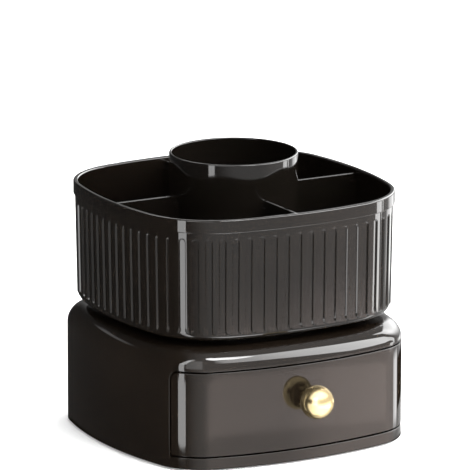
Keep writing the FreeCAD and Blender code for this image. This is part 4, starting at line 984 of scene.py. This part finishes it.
def softbox(name, az0, az1, el0, el1, level, away=1.7, roll=0.0, colour=(1.0, 1.0, 1.0)):
    """A flat lamp that the object sees between two azimuths and two elevations, in degrees."""
    c, e = math.radians(0.5 * (az0 + az1)), math.radians(0.5 * (el0 + el1))
    d = Vector((math.cos(c) * math.cos(e), math.sin(c) * math.cos(e), math.sin(e)))
    lamp = bpy.data.lights.new(name, "AREA")
    lamp.shape = "RECTANGLE"
    lamp.size = 2 * away * math.tan(math.radians(0.5 * (az1 - az0))) * math.cos(e)
    lamp.size_y = 2 * away * math.tan(math.radians(0.5 * (el1 - el0)))
    lamp.energy = level * math.pi * lamp.size * lamp.size_y
    lamp.color = colour
    ob = bpy.data.objects.new(name, lamp)
    ob.location = Vector((0.0, 0.0, 0.09)) + d * away
    ob.rotation_euler = ((-d).to_track_quat("-Z", "Y").to_matrix() @ Matrix.Rotation(math.radians(roll), 3, "Z")).to_euler()
    ob.visible_camera = False
    scene.collection.objects.link(ob)
    return ob


def glow_sheet(name, at, cols, rows, level, fade, colour):
    """A reflector sheet whose glow fades towards its edges; at(u, v) gives a point, fade the width of each edge's fall-off from 0 to 1."""
    m = bpy.data.meshes.new(name)
    uv = [(i / cols, j / rows) for j in range(rows + 1) for i in range(cols + 1)]
    m.from_pydata([at(u, v) for u, v in uv], [], [(j * (cols + 1) + i, j * (cols + 1) + i + 1, (j + 1) * (cols + 1) + i + 1, (j + 1) * (cols + 1) + i)
                                                   for j in range(rows) for i in range(cols)])
    glow = m.attributes.new("glow", "FLOAT", "POINT")

    def step(x):
        x = min(max(x, 0.0), 1.0)
        return x * x * (3 - 2 * x)

    for k, (u, v) in enumerate(uv):
        glow.data[k].value = step(u / fade[0]) * step((1 - u) / fade[1]) * step(v / fade[2]) * step((1 - v) / fade[3])
    k = Nodes(name + "_glow")
    k.t.nodes.remove(k.bsdf)
    lit = k.t.nodes.new("ShaderNodeEmission")
    lit.inputs["Color"].default_value = (*colour, 1)
    read = k.t.nodes.new("ShaderNodeAttribute")
    read.attribute_name = "glow"
    k.link(k.math("MULTIPLY", read.outputs["Fac"], level), lit.inputs["Strength"])
    clear = k.t.nodes.new("ShaderNodeBsdfTransparent")
    both = k.t.nodes.new("ShaderNodeAddShader")
    k.link(lit.outputs[0], both.inputs[0])
    k.link(clear.outputs[0], both.inputs[1])
    k.link(both.outputs[0], k.out.inputs["Surface"])
    m.materials.append(k.mat)
    ob = bpy.data.objects.new(name, m)
    scene.collection.objects.link(ob)
    ob.visible_camera = ob.visible_shadow = False
    return ob


def card(name, az0, az1, low, top, level, away=1.2, fade=(8.0, 8.0, 0.01, 0.01), colour=(1.0, 1.0, 1.0)):
    """A curved upright reflector round the object; fade is left and right in degrees, bottom and top in metres."""
    def at(u, v):
        q = math.radians(az0 + (az1 - az0) * u)
        return away * math.cos(q), away * math.sin(q), low + (top - low) * v

    f = (fade[0] / (az1 - az0), fade[1] / (az1 - az0), fade[2] / (top - low), fade[3] / (top - low))
    ob = glow_sheet(name, at, 60, 16, level, f, colour)
    ob.visible_diffuse = False
    return ob


def dome(name, az0, az1, el0, el1, level, fade=(4.0, 4.0, 4.0, 4.0), slant=0.0, colour=(1.0, 1.0, 1.0)):
    """A large soft lamp on a sphere round the object, all in degrees; slant lowers its far side."""
    def at(u, v):
        q = math.radians(az0 + (az1 - az0) * u)
        e = math.radians(el0 + (el1 - el0) * v - slant * (u - 0.5))
        return 4 * math.cos(q) * math.cos(e), 4 * math.sin(q) * math.cos(e), 0.09 + 4 * math.sin(e)

    f = (fade[0] / (az1 - az0), fade[1] / (az1 - az0), fade[2] / (el1 - el0), fade[3] / (el1 - el0))
    return glow_sheet(name, at, 28, 20, level, f, colour)


def upright(name, az0, az1, low, top, away, level, colour=(1.0, 1.0, 1.0)):
    """An upright lamp between two azimuths and two heights, in degrees and metres."""
    ob = softbox(name, az0, az1, -1.0, 1.0, 1.0, away, 0.0, colour)
    c = math.radians(0.5 * (az0 + az1))
    ob.data.size_y = top - low
    ob.data.energy = level * math.pi * ob.data.size * ob.data.size_y
    ob.location = (away * math.cos(c), away * math.sin(c), 0.5 * (low + top))
    return ob


def band(name, stations, edge=(0.06, 0.06), ends=(0.0, 0.0), colour=(1.0, 1.0, 1.0)):
    """A ribbon-shaped soft lamp on a sphere round the object. Each station is one cut across it:
    azimuth and elevation of its two ends in degrees, and the level there."""
    st = np.array(stations, float)
    k = np.arange(len(st)) / (len(st) - 1.0)

    def at(u, v):
        a0, e0, a1, e1 = (np.interp(v, k, st[:, j]) for j in range(4))
        q, e = math.radians(a0 + (a1 - a0) * u), math.radians(e0 + (e1 - e0) * u)
        return 4 * math.cos(q) * math.cos(e), 4 * math.sin(q) * math.cos(e), 0.09 + 4 * math.sin(e)

    ob = glow_sheet(name, at, 20, 6 * (len(st) - 1), 1.0, (edge[0], edge[1], max(ends[0], 1e-3), max(ends[1], 1e-3)), colour)
    glow = ob.data.attributes["glow"].data
    for i in range(len(glow)):
        glow[i].value *= float(np.interp((i // 21) / (6.0 * (len(st) - 1)), k, st[:, 4]))
    return ob


def upright_station(az, low, top, level):
    return (az, low, az, top, level)


WARM = (1.0, 0.83, 0.77)
key_box = band("key_box", [upright_station(*q) for q in (
    (271, 21, 35, 4.0), (277, 19.5, 38, 5.5), (284, 18, 43, 6.0), (290, 16.0, 50, 7.0), (300, 9.5, 49, 9.0), (307, 4.0, 48, 9.5),
    (313, -1.5, 46.5, 10.0), (321, -1.5, 40.5, 11.0), (327, 0.5, 35, 12.0), (334, 2.0, 25, 11.0), (341, 2.0, 17, 9.0), (350, -3, 10, 7.0), (357, -17, 1.5, 7.0))],
    edge=(0.07, 0.07), ends=(0.06, 0.02))
key_top = band("key_top", [upright_station(*q) for q in (
    (254, 49, 56, 12.0), (258, 47, 57, 22.0), (266, 43, 57.5, 24.0), (273, 40.5, 57.5, 24.0), (281, 38, 54, 24.0), (287, 41, 50.5, 18.0), (292, 44, 48, 8.0))],
    edge=(0.10, 0.10), ends=(0.04, 0.10))
left_elbow = band("left_elbow", (
    (196, 18, 210.5, 18, 6.5), (198.5, 24, 211, 24, 6.8), (201.5, 30, 212.5, 29, 7.2), (205, 35.5, 214.5, 33, 7.6), (208, 40, 217, 37, 7.8),
    (211.5, 44, 220, 40, 7.0), (217, 48, 225, 42.5, 4.0), (224, 50, 229, 45, 2.0)), edge=(0.05, 0.05), ends=(0.01, 0.06))
left_box = dome("left_box", 208, 246, -8, 41, 1.5, fade=(3.0, 4.0, 6.0, 3.0))
left_strip = upright("left_strip", 196.5, 207.5, -0.250, 0.54, 1.3, 6.0)
left_strip_wide = upright("left_strip_wide", 194.5, 210.0, -0.313, -0.250, 1.3, 6.0)
left_strip_low = upright("left_strip_low", 196.5, 207.5, -2.2, -0.36, 1.3, 5.0)
right_box = band("right_box", [upright_station(*q) for q in (
    (341, 33.5, 40.5, 6.0), (345, 26, 43, 11.0), (349, 17, 43.5, 11.5), (354, 11, 43.5, 12.0), (360, 6, 43, 12.5), (365, 2, 43, 11.5), (370, -1, 43, 9.5),
    (377, -4, 42, 7.6), (385, -6, 40, 6.4), (395, -6, 36, 5.2), (405, -5, 30, 3.9), (413, -4, 24, 2.6))], edge=(0.55, 0.06), ends=(0.05, 0.10))
rear_left = dome("rear_left", 98, 130, 22, 29, 0.6, fade=(10.0, 8.0, 1.0, 3.0))
rear_box = softbox("rear_box", 28, 98, 38, 66, 4.0, away=4.0)
right_strip = card("right_strip", 352.2, 367.3, -0.385, -0.298, 4.9, away=1.5, fade=(1.0, 1.0, 0.02, 0.01))
right_strip_tray = card("right_strip_tray", 339.0, 350.5, -0.296, -0.08, 7.0, away=1.5, fade=(0.8, 0.8, 0.012, 0.05))
right_strip_low = card("right_strip_low", 343.0, 353.5, -2.2, -0.66, 5.0, away=1.5, fade=(1.0, 1.0, 0.02, 0.05))
card("front_glow", 241, 330, -0.281, -0.220, 0.8, fade=(24.0, 3.0, 0.006, 0.004), colour=WARM)
card("table_front", 243, 344, -0.62, -0.17, 0.62, fade=(18.0, 10.0, 0.05, 0.07), colour=WARM)
card("table_right", 288, 353, -0.62, -0.16, 0.85, away=1.25, fade=(22.0, 4.0, 0.05, 0.07), colour=WARM)
card("tray_right", 290, 345, -0.24, 0.10, 0.20, away=1.3, fade=(22.0, 4.0, 0.08, 0.05), colour=WARM)
card("rib_light", 366, 396, -0.27, -0.08, 2.5, away=1.5, fade=(8.0, 8.0, 0.02, 0.05))
table_glow = dome("table_glow", 222, 355, -89, -46, 6.0, fade=(45.0, 6.0, 1.0, 16.0))
knob_light = dome("knob_light", 176, 348, 25, 86, 1.25, fade=(5.0, 10.0, 5.0, 6.0))
knob_fill = dome("knob_fill", 176, 348, -80, 2, 1.1, fade=(5.0, 10.0, 6.0, 5.0))


def shade(name, at, cols, rows):
    """A black card that only reflections can see."""
    ob = glow_sheet(name, at, cols, rows, 0.0, (0.1, 0.1, 0.1, 0.1), (0.0, 0.0, 0.0))
    k = Nodes(name + "_black")
    k.bsdf.inputs["Base Color"].default_value = (0.0, 0.0, 0.0, 1)
    k.bsdf.inputs["Specular IOR Level"].default_value = 0.0
    k.bsdf.inputs["Roughness"].default_value = 1.0
    ob.data.materials[0] = k.mat
    ob.visible_diffuse = False
    return ob


def dark_window(u, v):
    q = math.radians(370.0 + 44.0 * u)
    return 1.45 * math.cos(q), 1.45 * math.sin(q), -0.352 + 0.052 * v


shade("dark_window", dark_window, 12, 2)
# painted contact shadow: a black ring on the floor round the base, which only reflections see, stands in for the shade
# where the base meets the floor
foot_xy, foot_u = plan_xy(BASE, column_s(BASE, 6.0, 3.0)[0])


def foot_ring(u, v):
    i = int(round(u * len(foot_xy))) % len(foot_xy)
    x, y = foot_xy[i] + foot_u[i] * (6.5 * v - 1.5)
    return x * MM, y * MM, -1.2 * MM


shade("foot_ring", foot_ring, len(foot_xy), 1)

# the strongest lamps are kept off the plated knob, which has two soft ones of its own
def lamps_for(name, state, lamps):
    group = bpy.data.collections.new(name)
    group.objects.link(bpy.data.objects["knob_ball"])
    for entry in group.collection_objects:
        entry.light_linking.link_state = state
    for lamp in lamps:
        lamp.light_linking.receiver_collection = group


lamps_for("lamps_off_knob", "EXCLUDE", (key_box, key_top, right_box, left_elbow, left_strip, left_strip_wide, left_strip_low,
                                        right_strip, right_strip_tray, right_strip_low, table_glow))
lamps_for("lamps_of_knob", "INCLUDE", (knob_light, knob_fill))

world = bpy.data.worlds.new("studio")
scene.world = world
world.use_nodes = True
wt = world.node_tree
bg = wt.nodes["Background"]
way = wt.nodes.new("ShaderNodeTexCoord")
dot = wt.nodes.new("ShaderNodeVectorMath")
dot.operation = "DOT_PRODUCT"
dot.inputs[1].default_value = (math.cos(math.radians(140)), math.sin(math.radians(140)), 0.0)
wt.links.new(way.outputs["Generated"], dot.inputs[0])
room = wt.nodes.new("ShaderNodeMapRange")
room.interpolation_type = "SMOOTHSTEP"
for key, val in (("From Min", -0.30), ("From Max", 0.55), ("To Min", 0.88), ("To Max", 0.05)):
    room.inputs[key].default_value = val
wt.links.new(dot.outputs["Value"], room.inputs["Value"])
seen = wt.nodes.new("ShaderNodeLightPath")
level = wt.nodes.new("ShaderNodeMix")
level.inputs[3].default_value = 1.0
wt.links.new(seen.outputs["Is Camera Ray"], level.inputs[0])
wt.links.new(room.outputs["Result"], level.inputs[2])
wt.links.new(level.outputs[0], bg.inputs["Strength"])
bg.inputs["Color"].default_value = (1, 1, 1, 1)

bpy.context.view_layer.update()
